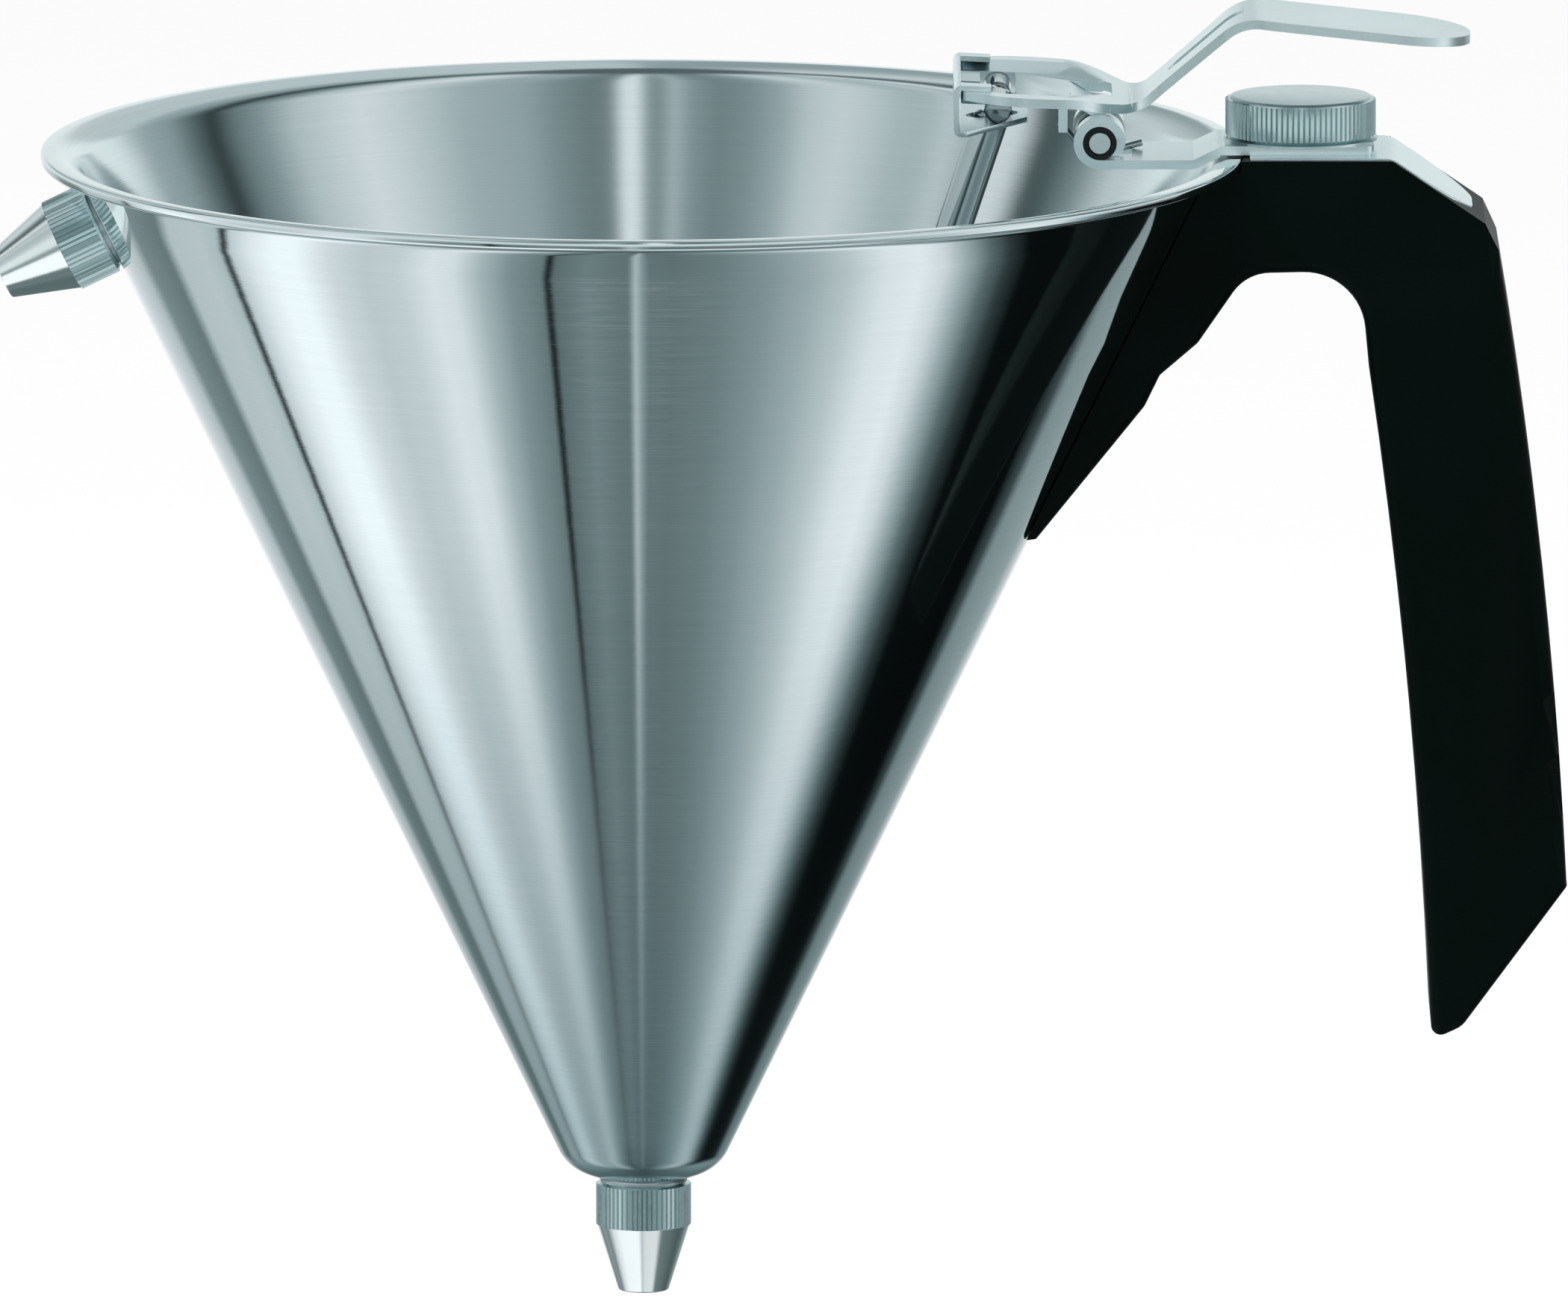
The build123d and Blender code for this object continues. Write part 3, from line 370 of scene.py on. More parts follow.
def rounded(points, radii, steps):
    """An open line with its inner corners rounded, each by its own radius and in the given steps."""
    line = [Vector(points[0])]
    for before, corner, after, radius in zip(points, points[1:], points[2:], radii):
        before, corner, after = Vector(before), Vector(corner), Vector(after)
        first = (corner - before).normalized()
        second = (after - corner).normalized()
        turn = first.angle(second)
        if radius <= 0 or turn < 1e-4:
            line.append(corner)
            continue
        reach = radius * math.tan(turn / 2)
        side = 1 if first.x * second.y - first.y * second.x > 0 else -1
        start = corner - first * reach
        centre = start + Vector((-first.y, first.x)) * radius * side
        arm = start - centre
        for step in range(steps + 1):
            angle = side * turn * step / steps
            spun = Vector(
                (
                    arm.x * math.cos(angle) - arm.y * math.sin(angle),
                    arm.x * math.sin(angle) + arm.y * math.cos(angle),
                )
            )
            line.append(centre + spun)
    line.append(Vector(points[-1]))
    return line


def new_piece(name, mesh, materials):
    """An object for a mesh, with finishes given by their names."""
    for material in materials:
        mesh.materials.append(MATERIALS[material])
    piece = bpy.data.objects.new(name, mesh)
    bpy.context.collection.objects.link(piece)
    return piece


def turned(name, outline, facets, materials, finish_of, sharp=35.0):
    """A closed outline turned round the Z axis. The finish of each of its sides is given by the side's number."""
    shape = bmesh.new()
    rings = []
    on_axis = 0.0001 * MM
    for radius, height in outline:
        if radius < on_axis:
            rings.append([shape.verts.new((0, 0, height))])
            continue
        ring = []
        for index in range(facets):
            angle = 2 * math.pi * index / facets
            ring.append(shape.verts.new((radius * math.cos(angle), radius * math.sin(angle), height)))
        rings.append(ring)
    count = len(rings)
    for number in range(count):
        low, high = rings[number], rings[(number + 1) % count]
        if len(low) == 1 and len(high) == 1:
            continue
        for index in range(facets):
            after = (index + 1) % facets
            corners = [low[index % len(low)], low[after % len(low)], high[after % len(high)], high[index % len(high)]]
            corners = list(dict.fromkeys(corners))
            shape.faces.new(corners).material_index = finish_of(number)
    bmesh.ops.recalc_face_normals(shape, faces=shape.faces)
    mesh = bpy.data.meshes.new(name)
    shape.to_mesh(mesh)
    shape.free()
    piece = new_piece(name, mesh, materials)
    smooth(piece, sharp)
    return piece


def smooth(piece, sharp):
    """Shade smooth, with the edges over an angle in degrees kept sharp."""
    piece.data.shade_smooth()
    piece.data.set_sharp_from_angle(angle=math.radians(sharp))


def baked(piece):
    """Turn the modifiers into the piece's own mesh."""
    graph = bpy.context.evaluated_depsgraph_get()
    mesh = bpy.data.meshes.new_from_object(piece.evaluated_get(graph), preserve_all_data_layers=True, depsgraph=graph)
    mesh.name = piece.name
    piece.modifiers.clear()
    piece.data = mesh


def round_creases(piece, width, sharp):
    """Round the bends between large faces, which are slighter than a sharp edge."""
    shape = bmesh.new()
    shape.from_mesh(piece.data)
    weight = shape.edges.layers.float.new("bevel_weight_edge")
    least_turn, large_area = math.radians(5.0), 4 * MM * MM
    for edge in shape.edges:
        if len(edge.link_faces) == 2 and min(face.calc_area() for face in edge.link_faces) > large_area:
            edge[weight] = 1.0 if least_turn < edge.calc_face_angle() < math.radians(sharp) else 0.0
    shape.to_mesh(piece.data)
    shape.free()
    bevel = piece.modifiers.new("Creases", "BEVEL")
    bevel.width = width
    bevel.segments = 4
    bevel.limit_method = "WEIGHT"
    bevel.use_clamp_overlap = True
    baked(piece)
    smooth(piece, sharp)


def dressed(name, node, material, edge, sharp=35.0, segments=2, crease=0.0):
    """A finished copy of a CAD node's shape: its faces merged to whole ones and its edges rounded.

    A crease is the rounding of the slight bends between its large faces.
    """
    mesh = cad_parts[node].data.copy()
    mesh.name = name
    mesh.materials.clear()
    shape = bmesh.new()
    shape.from_mesh(mesh)
    bmesh.ops.remove_doubles(shape, verts=shape.verts, dist=0.001 * MM)
    flat = math.radians(0.4)
    bmesh.ops.dissolve_limit(
        shape, angle_limit=flat, verts=shape.verts, edges=shape.edges, use_dissolve_boundaries=False
    )
    for face in shape.faces:
        face.material_index = 0
    shape.to_mesh(mesh)
    shape.free()
    for layer in list(mesh.uv_layers):
        mesh.uv_layers.remove(layer)
    piece = new_piece(name, mesh, [material])
    smooth(piece, sharp)
    if crease > 0:
        round_creases(piece, crease, sharp)
    if edge > 0:
        bevel = piece.modifiers.new("Edges", "BEVEL")
        bevel.width = edge
        bevel.segments = segments
        bevel.limit_method = "ANGLE"
        bevel.angle_limit = math.radians(sharp)
        bevel.use_clamp_overlap = True
        bevel.harden_normals = True
        baked(piece)
    return piece


def mount(piece, body, nodes, slot):
    """Parent a piece to the body that it moves with and hide the CAD nodes that it stands for. The slot, the name of
    its finish, is not used.
    """
    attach(piece, body)
    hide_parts(*nodes)


# Knurls, made with geometry nodes


def knurl_tree():
    """Teeth in a ring round the Z axis, joined to the piece that carries them."""
    tree = bpy.data.node_groups.new("Knurl", "GeometryNodeTree")
    face = tree.interface
    face.new_socket("Geometry", in_out="INPUT", socket_type="NodeSocketGeometry")
    for name, kind in (
        ("Teeth", "NodeSocketInt"),
        ("Radius", "NodeSocketFloat"),
        ("Tooth", "NodeSocketFloat"),
        ("Length", "NodeSocketFloat"),
        ("Middle", "NodeSocketFloat"),
        ("Material", "NodeSocketMaterial"),
    ):
        face.new_socket(name, in_out="INPUT", socket_type=kind)
    face.new_socket("Geometry", in_out="OUTPUT", socket_type="NodeSocketGeometry")
    nodes, links = tree.nodes, tree.links
    given = nodes.new("NodeGroupInput")
    ring = nodes.new("GeometryNodeMeshCircle")
    ring.fill_type = "NONE"
    links.new(given.outputs["Teeth"], ring.inputs["Vertices"])
    links.new(given.outputs["Radius"], ring.inputs["Radius"])
    points = nodes.new("GeometryNodeMeshToPoints")
    links.new(ring.outputs[0], points.inputs[0])
    tooth = nodes.new("GeometryNodeMeshCylinder")
    tooth.fill_type = "NGON"
    tooth.inputs["Vertices"].default_value = 3
    links.new(given.outputs["Tooth"], tooth.inputs["Radius"])
    links.new(given.outputs["Length"], tooth.inputs["Depth"])
    place = nodes.new("GeometryNodeInputPosition")
    parts = nodes.new("ShaderNodeSeparateXYZ")
    links.new(place.outputs[0], parts.inputs[0])
    turn = nodes.new("ShaderNodeMath")
    turn.operation = "ARCTAN2"
    links.new(parts.outputs[1], turn.inputs[0])
    links.new(parts.outputs[0], turn.inputs[1])
    spin = nodes.new("ShaderNodeCombineXYZ")
    links.new(turn.outputs[0], spin.inputs[2])
    copies = nodes.new("GeometryNodeInstanceOnPoints")
    links.new(points.outputs[0], copies.inputs["Points"])
    links.new(tooth.outputs["Mesh"], copies.inputs["Instance"])
    links.new(spin.outputs[0], copies.inputs["Rotation"])
    lift = nodes.new("ShaderNodeCombineXYZ")
    links.new(given.outputs["Middle"], lift.inputs[2])
    raised = nodes.new("GeometryNodeTransform")
    links.new(copies.outputs[0], raised.inputs[0])
    links.new(lift.outputs[0], raised.inputs["Translation"])
    real = nodes.new("GeometryNodeRealizeInstances")
    links.new(raised.outputs[0], real.inputs[0])
    painted = nodes.new("GeometryNodeSetMaterial")
    links.new(real.outputs[0], painted.inputs["Geometry"])
    links.new(given.outputs["Material"], painted.inputs["Material"])
    joined = nodes.new("GeometryNodeJoinGeometry")
    links.new(given.outputs["Geometry"], joined.inputs[0])
    links.new(painted.outputs[0], joined.inputs[0])
    out = nodes.new("NodeGroupOutput")
    links.new(joined.outputs[0], out.inputs[0])
    return tree


def add_knurl(piece, teeth, tip_radius, low, high):
    """Set the teeth of a straight knurl round a turned piece, between two heights."""
    tree = bpy.data.node_groups.get("Knurl") or knurl_tree()
    modifier = piece.modifiers.new("Knurl", "NODES")
    modifier.node_group = tree
    # A tooth is a three-sided bar, a little wider than its share of the ring, so that no gap is left
    overlap = 1.02
    tooth = 2 * math.pi * tip_radius / teeth / math.sqrt(3) * overlap
    values = {
        "Teeth": teeth,
        "Radius": tip_radius - tooth,
        "Tooth": tooth,
        "Length": high - low,
        "Middle": (low + high) / 2,
        "Material": MATERIALS["knurled"],
    }
    for item in tree.interface.items_tree:
        if item.item_type == "SOCKET" and item.in_out == "INPUT" and item.name in values:
            modifier[item.identifier] = values[item.name]
    baked(piece)


# Pieces


# The cone: its wall would reach the rim's plane this far inside the rim, and bends outwards to the lip before it
LIP_WIDTH = 4 * MM
LIP_BEND = 4 * MM
LIP_STEPS = 12
WALL_STEPS = 40
NECK_RADIUS = 6.75 * MM
NECK_LENGTH = 0.8 * MM
NECK_ROUNDING = 0.6 * MM
# The wall's straight line ends at this radius, at a corner a little above the neck, which is then rounded
BOTTOM_CORNER = 11.6 * MM
BOTTOM_DROP = 1 * MM
BOTTOM_ROUNDING = 7 * MM
BOTTOM_STEPS = 14
HEM_WIDTH = 1.4 * MM
HEM_HEIGHT = 1.6 * MM
HEM_ROUNDING = 0.46 * MM
HEM_STEPS = 6
# Sides of the outline, from the lower end of the neck on, that have the neck's finish, steel darkened by painted shade
NECK_SIDES = 8


def cone_outline(settings):
    """Closed outline of the cone's sheet with its hemmed edge, and how many points its outside and its hem have."""
    rim, wall, half_angle = settings.rim_radius, settings.wall, settings.half_angle
    slope = math.tan(half_angle)
    top = rim - LIP_WIDTH
    corner_z = (BOTTOM_CORNER - top) / slope
    bend = math.pi / 2 - half_angle
    start_z = -wall - LIP_BEND * (1 - math.cos(bend))
    start = Vector((top + start_z * slope, start_z))
    neck_top = corner_z - BOTTOM_DROP
    outer = rounded(
        [(NECK_RADIUS, neck_top - NECK_LENGTH), (NECK_RADIUS, neck_top), (BOTTOM_CORNER, corner_z), start],
        [NECK_ROUNDING, BOTTOM_ROUNDING],
        BOTTOM_STEPS,
    )
    first, last = outer[-2], outer[-1]
    outer = outer[:-1] + [first.lerp(last, step / WALL_STEPS) for step in range(1, WALL_STEPS)]
    along = Vector((math.sin(half_angle), math.cos(half_angle)))
    across = Vector((math.cos(half_angle), -math.sin(half_angle)))
    for step in range(LIP_STEPS + 1):
        angle = bend * step / LIP_STEPS
        outer.append(start + along * LIP_BEND * math.sin(angle) + across * LIP_BEND * (1 - math.cos(angle)))
    inner = []
    for index, point in enumerate(outer):
        before, after = outer[max(0, index - 1)], outer[min(len(outer) - 1, index + 1)]
        way = (after - before).normalized()
        if index == 0:
            way = Vector((0, 1))
        elif index == len(outer) - 1:
            way = Vector((1, 0))
        inner.append(point + Vector((-way.y, way.x)) * wall)
    hem_start = rim - HEM_WIDTH
    hem = rounded(
        [(hem_start, -HEM_HEIGHT), (rim, -HEM_HEIGHT), (rim, 0.0), (inner[-1].x, 0.0)],
        [HEM_ROUNDING, HEM_ROUNDING],
        HEM_STEPS,
    )
    outer.append(Vector((hem_start, -wall)))
    return outer + hem[:-1] + list(reversed(inner)), len(outer), len(hem)


class FUNNEL_OT_cone(bpy.types.Operator):
    """Turn the cone with its flared lip and hemmed edge"""

    bl_idname = "funnel.cone"
    bl_label = "Cone"

    def execute(self, context):
        settings = context.scene.piston_funnel.cone
        outline, outer, hem = cone_outline(settings)
        finishes = ["outer wall", "inner wall", "rim", "neck"]

        def finish_of(number):
            if number < NECK_SIDES:
                return finishes.index("neck")
            if number < outer:
                return finishes.index("outer wall")
            return finishes.index("rim" if number < outer + hem - 1 else "inner wall")

        cone = turned("cone", outline, settings.facets, finishes, finish_of, sharp=50.0)
        mount(cone, "funnel", ["funnel_body"], "polished_steel")
        return {"FINISHED"}


# Closed outline of a nozzle, from its open end at height 0 to its tip: radius and height in millimetres, and the
# finish of the side from this point to the next
NOZZLE_OUTLINE = [
    # The neck's finish on the open end and in the bore is steel darkened by painted shade
    (6.15, 0.0, "neck"),
    (6.6, 0.0, "knurled"),
    (7.03, 0.45, "knurled"),
    (7.03, 6.75, "nozzle cone"),
    (7.15, 6.8, "nozzle cone"),
    (3.95, 16.95, "nozzle cone"),
    (3.8, 17.1, "nozzle cone"),
    (2.75, 17.1, "nozzle cone"),
    (2.6, 16.9, "nozzle cone"),
    (2.6, 10.1, "nozzle cone"),
    (4.0, 7.0, "nozzle cone"),
    (6.15, 7.0, "neck"),
]
NOZZLE_FACETS = 128
NOZZLE_TOOTH_TIP = 7.35 * MM
NOZZLE_KNURL_LOW, NOZZLE_KNURL_HIGH = 0.45 * MM, 6.8 * MM
# Bends above this angle stay sharp, so that the tip's chamfer doesn't shade the small cone
NOZZLE_SHARP = 20.0

# The spare nozzle stands square to the cone's wall: how far below the rim its axis meets the wall's line, and how far
# out from there its open end is
SPARE_DROP = 11.9 * MM
SPARE_GAP = 0.4 * MM


def make_nozzle(name, place, body, node, settings):
    """Turn a nozzle on the Z axis, knurl its collar and move it to its place."""
    outline = [(radius * MM, height * MM) for radius, height, _ in NOZZLE_OUTLINE]
    finishes = ["nozzle cone", "knurled", "neck"]
    nozzle = turned(
        name, outline, NOZZLE_FACETS, finishes, lambda number: finishes.index(NOZZLE_OUTLINE[number][2])
    )
    add_knurl(nozzle, settings.nozzle_teeth, NOZZLE_TOOTH_TIP, NOZZLE_KNURL_LOW, NOZZLE_KNURL_HIGH)
    smooth(nozzle, NOZZLE_SHARP)
    nozzle.data.transform(place)
    mount(nozzle, body, [node], "knurled_steel")


class FUNNEL_OT_nozzles(bpy.types.Operator):
    """Turn and knurl the nozzle on the outlet and the spare one on the wall"""

    bl_idname = "funnel.nozzles"
    bl_label = "Nozzles"

    def execute(self, context):
        settings = context.scene.piston_funnel
        down = Matrix.Translation((0, 0, NOZZLE_TOP)) @ Matrix.Rotation(math.pi, 4, "X")
        make_nozzle("outlet_tip", down, "nozzle", "outlet_nozzle", settings.knurl)
        tilt = settings.cone.half_angle
        wall_radius = settings.cone.rim_radius - LIP_WIDTH - SPARE_DROP * math.tan(tilt)
        way = Vector((-math.cos(tilt), 0, -math.sin(tilt)))
        start = Vector((-wall_radius, 0, -SPARE_DROP)) + way * SPARE_GAP
        aside = Matrix.Translation(start) @ way.to_track_quat("Z", "Y").to_matrix().to_4x4()
        make_nozzle("spare_tip", aside, "spare", "spare_nozzle", settings.knurl)
        return {"FINISHED"}


# The knob's edges at its foot and head: how far in from the core and how far from the end, in millimetres
KNOB_FOOT = [(0.5, 0.0), (0.0, 0.5)]
KNOB_HEAD = [(0.0, 0.55), (0.12, 0.3), (0.5, 0.06), (1.0, 0.0)]
KNOB_FACETS = 192
KNOB_KNURL_FOOT, KNOB_KNURL_HEAD = 0.4 * MM, 0.5 * MM
# The teeth's tips stand this much past the knob's solid
KNOB_EASE = 0.005 * MM
# Sides of the knob's outline with the knurl's finish: the foot's edge and the core
KNOB_KNURLED_SIDES = (1, 2)
KNOB_SHARP = 30.0


class FUNNEL_OT_knob(bpy.types.Operator):
    """Turn and knurl the clamp knob"""

    bl_idname = "funnel.knob"
    bl_label = "Knob"

    def execute(self, context):
        settings = context.scene.piston_funnel.knurl
        radius = (KNOB_HIGH.y - KNOB_LOW.y) / 2 + KNOB_EASE
        height = KNOB_HIGH.z - KNOB_LOW.z
        core = radius - settings.depth
        foot = [(core - inset * MM, rise * MM) for inset, rise in KNOB_FOOT]
        head = [(core - inset * MM, height - fall * MM) for inset, fall in KNOB_HEAD]
        outline = [(0.0, 0.0), *foot, *head, (0.0, height)]
        knob = turned(
            "knob", outline, KNOB_FACETS, ["turned", "knurled"], lambda number: int(number in KNOB_KNURLED_SIDES)
        )
        add_knurl(knob, settings.knob_teeth, radius, KNOB_KNURL_FOOT, height - KNOB_KNURL_HEAD)
        smooth(knob, KNOB_SHARP)
        middle = (KNOB_LOW + KNOB_HIGH) / 2
        knob.data.transform(Matrix.Translation((middle.x, 0, KNOB_LOW.z)))
        mount(knob, "knob", ["clamp_knob"], "knurled_steel")
        return {"FINISHED"}


class FUNNEL_OT_rod(bpy.types.Operator):
    """Turn the rod with its plug and cross bar"""

    bl_idname = "funnel.rod"
    bl_label = "Rod"

    def execute(self, context):
        # The rod and the plug take steel darkened by painted shade, and so does the cross bar
        for name, node, material, slot in (
            ("rod", "piston_rod", "polished", "turned_steel"),
            ("plug", "closing_plug", "polished", "turned_steel"),
            ("cross_bar", "rod_cross_bar", "bar", "turned_steel"),
        ):
            mount(dressed(name, node, material, edge=0.0, sharp=40.0), "rod", [node], slot)
        return {"FINISHED"}


# Rounding of the bends round the lever's dished leaf
LEVER_CREASE = 0.9 * MM


class FUNNEL_OT_lever(bpy.types.Operator):
    """Stamp the lever and the clip that carries the rod"""

    bl_idname = "funnel.lever"
    bl_label = "Lever"

    def execute(self, context):
        edge = context.scene.piston_funnel.sheet.edge
        lever = dressed("thumb_lever", "lever", "stamped", edge, crease=LEVER_CREASE)
        mount(lever, "lever", ["lever"], "stamped_steel")
        mount(dressed("strap_clip", "rod_clip", "stamped", edge), "lever", ["rod_clip"], "stamped_steel")
        return {"FINISHED"}


# On the hinge's pieces bends above this angle stay sharp, so that a slight chamfer doesn't make a flat end look domed
HINGE_SHARP = 28.0


class FUNNEL_OT_hinge(bpy.types.Operator):
    """Make the bracket, pin, bushes and spring"""

    bl_idname = "funnel.hinge"
    bl_label = "Hinge"

    def execute(self, context):
        edge = context.scene.piston_funnel.sheet.edge
        for name, node, material, slot, rounding in (
            ("bracket", "hinge_bracket", "stamped", "stamped_steel", edge),
            ("pin", "hinge_pin", "pin", "turned_steel", 0.0),
            ("bushes", "hinge_bushes", "bush", "dark_plastic", 0.0),
        ):
            mount(dressed(name, node, material, rounding, sharp=HINGE_SHARP), "funnel", [node], slot)
        # In the real coil the leg at the back stays on the bracket and the one in front goes with the lever; here the
        # spring is a fixed copy that moves with no body
        spring = dressed("spring", "lever_spring", "wire", edge=0.0, sharp=HINGE_SHARP)
        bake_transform(spring)
        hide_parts("lever_spring")
        return {"FINISHED"}


class FUNNEL_OT_handle(bpy.types.Operator):
    """Mould the handle and set its steel cap"""

    bl_idname = "funnel.handle"
    bl_label = "Handle"

    def execute(self, context):
        settings = context.scene.piston_funnel
        handle = dressed("handle", "handle_body", "plastic", settings.grip.edge, sharp=30.0, segments=3)
        mount(handle, "funnel", ["handle_body"], "black_plastic")
        cap = dressed("cap_plate", "handle_cap", "stamped", settings.sheet.edge)
        mount(cap, "funnel", ["handle_cap"], "stamped_steel")
        return {"FINISHED"}


class FUNNEL_OT_fittings(bpy.types.Operator):
    """Finish the small fittings that keep their CAD shapes"""

    bl_idname = "funnel.fittings"
    bl_label = "Fittings"

    def execute(self, context):
        finishes = {
            # The spout and the spare nozzle's stud take the neck's steel, darkened by painted shade
            "outlet_spout": "neck",
            "outlet_seat": "seal",
            "nozzle_seal": "dark seal",
            "spare_nozzle_stud": "neck",
            "handle_tang": "stamped",
            "handle_screw": "turned",
            "clamp_insert": "turned",
            "clamp_stud": "turned",
            "clamp_washer": "turned",
        }
        for node, material in finishes.items():
            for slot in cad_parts[node].material_slots:
                slot.material = MATERIALS[material]
        return {"FINISHED"}


# Stage


def mirrored_turn(place, half_angle, elevation):
    """Which way round the wall mirrors at a place across it: 0 is towards the photograph's side and 1 away from it.

    The half angle is negative for the inner wall.
    """
    depth = math.sqrt(max(0.0, 1 - place * place))
    look = Vector((0, math.cos(elevation), -math.sin(elevation)))
    normal = Vector((math.cos(half_angle) * place, -math.cos(half_angle) * depth, -math.sin(half_angle)))
    way = look - 2 * look.dot(normal) * normal
    return abs(math.atan2(way.x, -way.y)) / math.pi


def light_of(brightness):
    """A brightness as seen on a screen, from 0 to 1, as the amount of light."""
    return brightness / 12.92 if brightness <= 0.04045 else ((brightness + 0.055) / 1.055) ** 2.4


# Share of the light that polished steel sends back
STEEL_SHINE = 0.77
# A card's red, as a share of its green: this much where it is dark, more with its light, and never over 1
DARK_RED, RED_RISE = 0.70, 0.35
BLUE = 1.02


def steel_light(brightness):
    """The light of a card that steel shows at a given brightness, a little cooler where it is dark."""
    light = light_of(brightness) / STEEL_SHINE
    return (light * min(1.0, DARK_RED + RED_RISE * light), light, light * BLUE)


def wall_cards(shader, turn, places, half_angle, elevation):
    """A ramp of light and dark cards round the funnel, given by where a wall mirrors them."""
    stops = [
        (mirrored_turn(place, half_angle, elevation), steel_light(brightness)) for place, brightness in places
    ]
    return shader.ramp(turn, sorted(stops))


# Brightness of the cards, by the place across the cone where its wall mirrors them: -1 is its left edge, 1 its right
LEFT_LOW_CARDS = [
    (-1.0, 0.88), (-0.97, 0.80), (-0.935, 0.72), (-0.915, 0.52), (-0.865, 0.46), (-0.845, 0.74), (-0.79, 0.76),
    (-0.757, 0.72), (-0.7505, 0.22), (-0.7435, 0.22), (-0.737, 0.78), (-0.70, 0.90), (-0.66, 0.97), (-0.62, 0.97),
    (-0.56, 0.84), (-0.50, 0.78), (-0.44, 0.80), (-0.38, 0.88), (-0.34, 0.86), (-0.29, 0.70), (-0.24, 0.56),
    (-0.18, 0.46), (-0.173, 0.12), (-0.166, 0.12), (-0.159, 0.42), (-0.10, 0.49), (-0.05, 0.45), (-0.025, 0.44),
    (-0.012, 0.72), (0.0, 0.56),
]
RIGHT_LOW_CARDS = [
    (0.0, 0.56), (0.012, 0.45), (0.06, 0.44), (0.14, 0.48), (0.22, 0.56), (0.30, 0.66), (0.37, 0.76), (0.44, 0.88),
    (0.50, 0.91), (0.54, 0.84), (0.58, 0.66), (0.62, 0.42), (0.655, 0.22), (0.69, 0.05), (0.83, 0.04), (0.86, 0.28),
    (0.88, 0.54), (0.95, 0.60), (0.98, 0.78), (1.0, 0.86),
]
# The inner wall mirrors the other side, so its places are those of the wall across from the card
LEFT_HIGH_CARDS = [
    (-0.98, 0.74), (-0.94, 0.74), (-0.90, 0.63), (-0.86, 0.58), (-0.82, 0.40), (-0.785, 0.16), (-0.745, 0.46),
    (-0.70, 0.56), (-0.64, 0.73), (-0.58, 0.79), (-0.52, 0.84), (-0.46, 0.80), (-0.38, 0.72), (-0.33, 0.66),
    (-0.22, 0.62), (-0.17, 0.54), (-0.10, 0.46), (-0.055, 0.46), (-0.042, 0.88), (-0.012, 0.92), (0.0, 0.62),
]
RIGHT_HIGH_CARDS = [
    (0.0, 0.62), (0.012, 0.48), (0.035, 0.52), (0.055, 0.72), (0.085, 0.56), (0.14, 0.49), (0.20, 0.54), (0.26, 0.64),
    (0.31, 0.76), (0.37, 0.80), (0.42, 0.76), (0.47, 0.70), (0.52, 0.69), (0.57, 0.76), (0.61, 0.66), (0.66, 0.84),
    (0.695, 0.80), (0.735, 0.30), (0.765, 0.32), (0.82, 0.52), (0.88, 0.76), (0.94, 0.78), (1.0, 0.6),
]

# The nozzles' small cones mirror other cards, given by the way round: 0 and 1 are behind, 0.5 is in front
SMALL_CARDS = [
    (0.05, 0.50), (0.19, 0.48), (0.235, 0.82), (0.30, 0.94), (0.46, 0.97), (0.485, 0.70), (0.51, 0.84), (0.62, 0.86),
    (0.655, 0.45), (0.82, 0.36), (0.88, 0.50), (0.95, 0.62),
]

# Light below the funnel, which the cone's round bottom mirrors, by how far it is to the side
BOTTOM_LIGHT = [
    (0.0, (0.12, 0.16, 0.165)),
    (0.3, (0.22, 0.28, 0.29)),
    (0.6, (0.52, 0.62, 0.63)),
    (1.0, (0.75, 0.84, 0.84)),
]
LEVEL_LIGHT = (0.88, 0.93, 0.93, 1.0)
TOP_LIGHT = (0.12, 0.15, 0.155, 1.0)

# Where each light fades into the next, by the height of the mirrored direction: -1 is straight down and 1 straight up
LEVEL_FADE = (-0.16, -0.06)
HIGH_FADE = (0.16, 0.24)
TOP_FADE = (0.955, 0.985)
# The small cones mirror directions beside those of the big wall, and the round bottom mirrors lower ones. Both bounds
# slope: height less a share of the depth, away from the photograph's side.
SMALL_SLOPE, SMALL_FADE = -0.38, (-0.68, -0.65)
SMALL_HIGHEST, SMALL_DEEPEST = -0.3, 0.72
BOTTOM_SLOPE, BOTTOM_FADE = -0.55, (-0.87, -0.95)


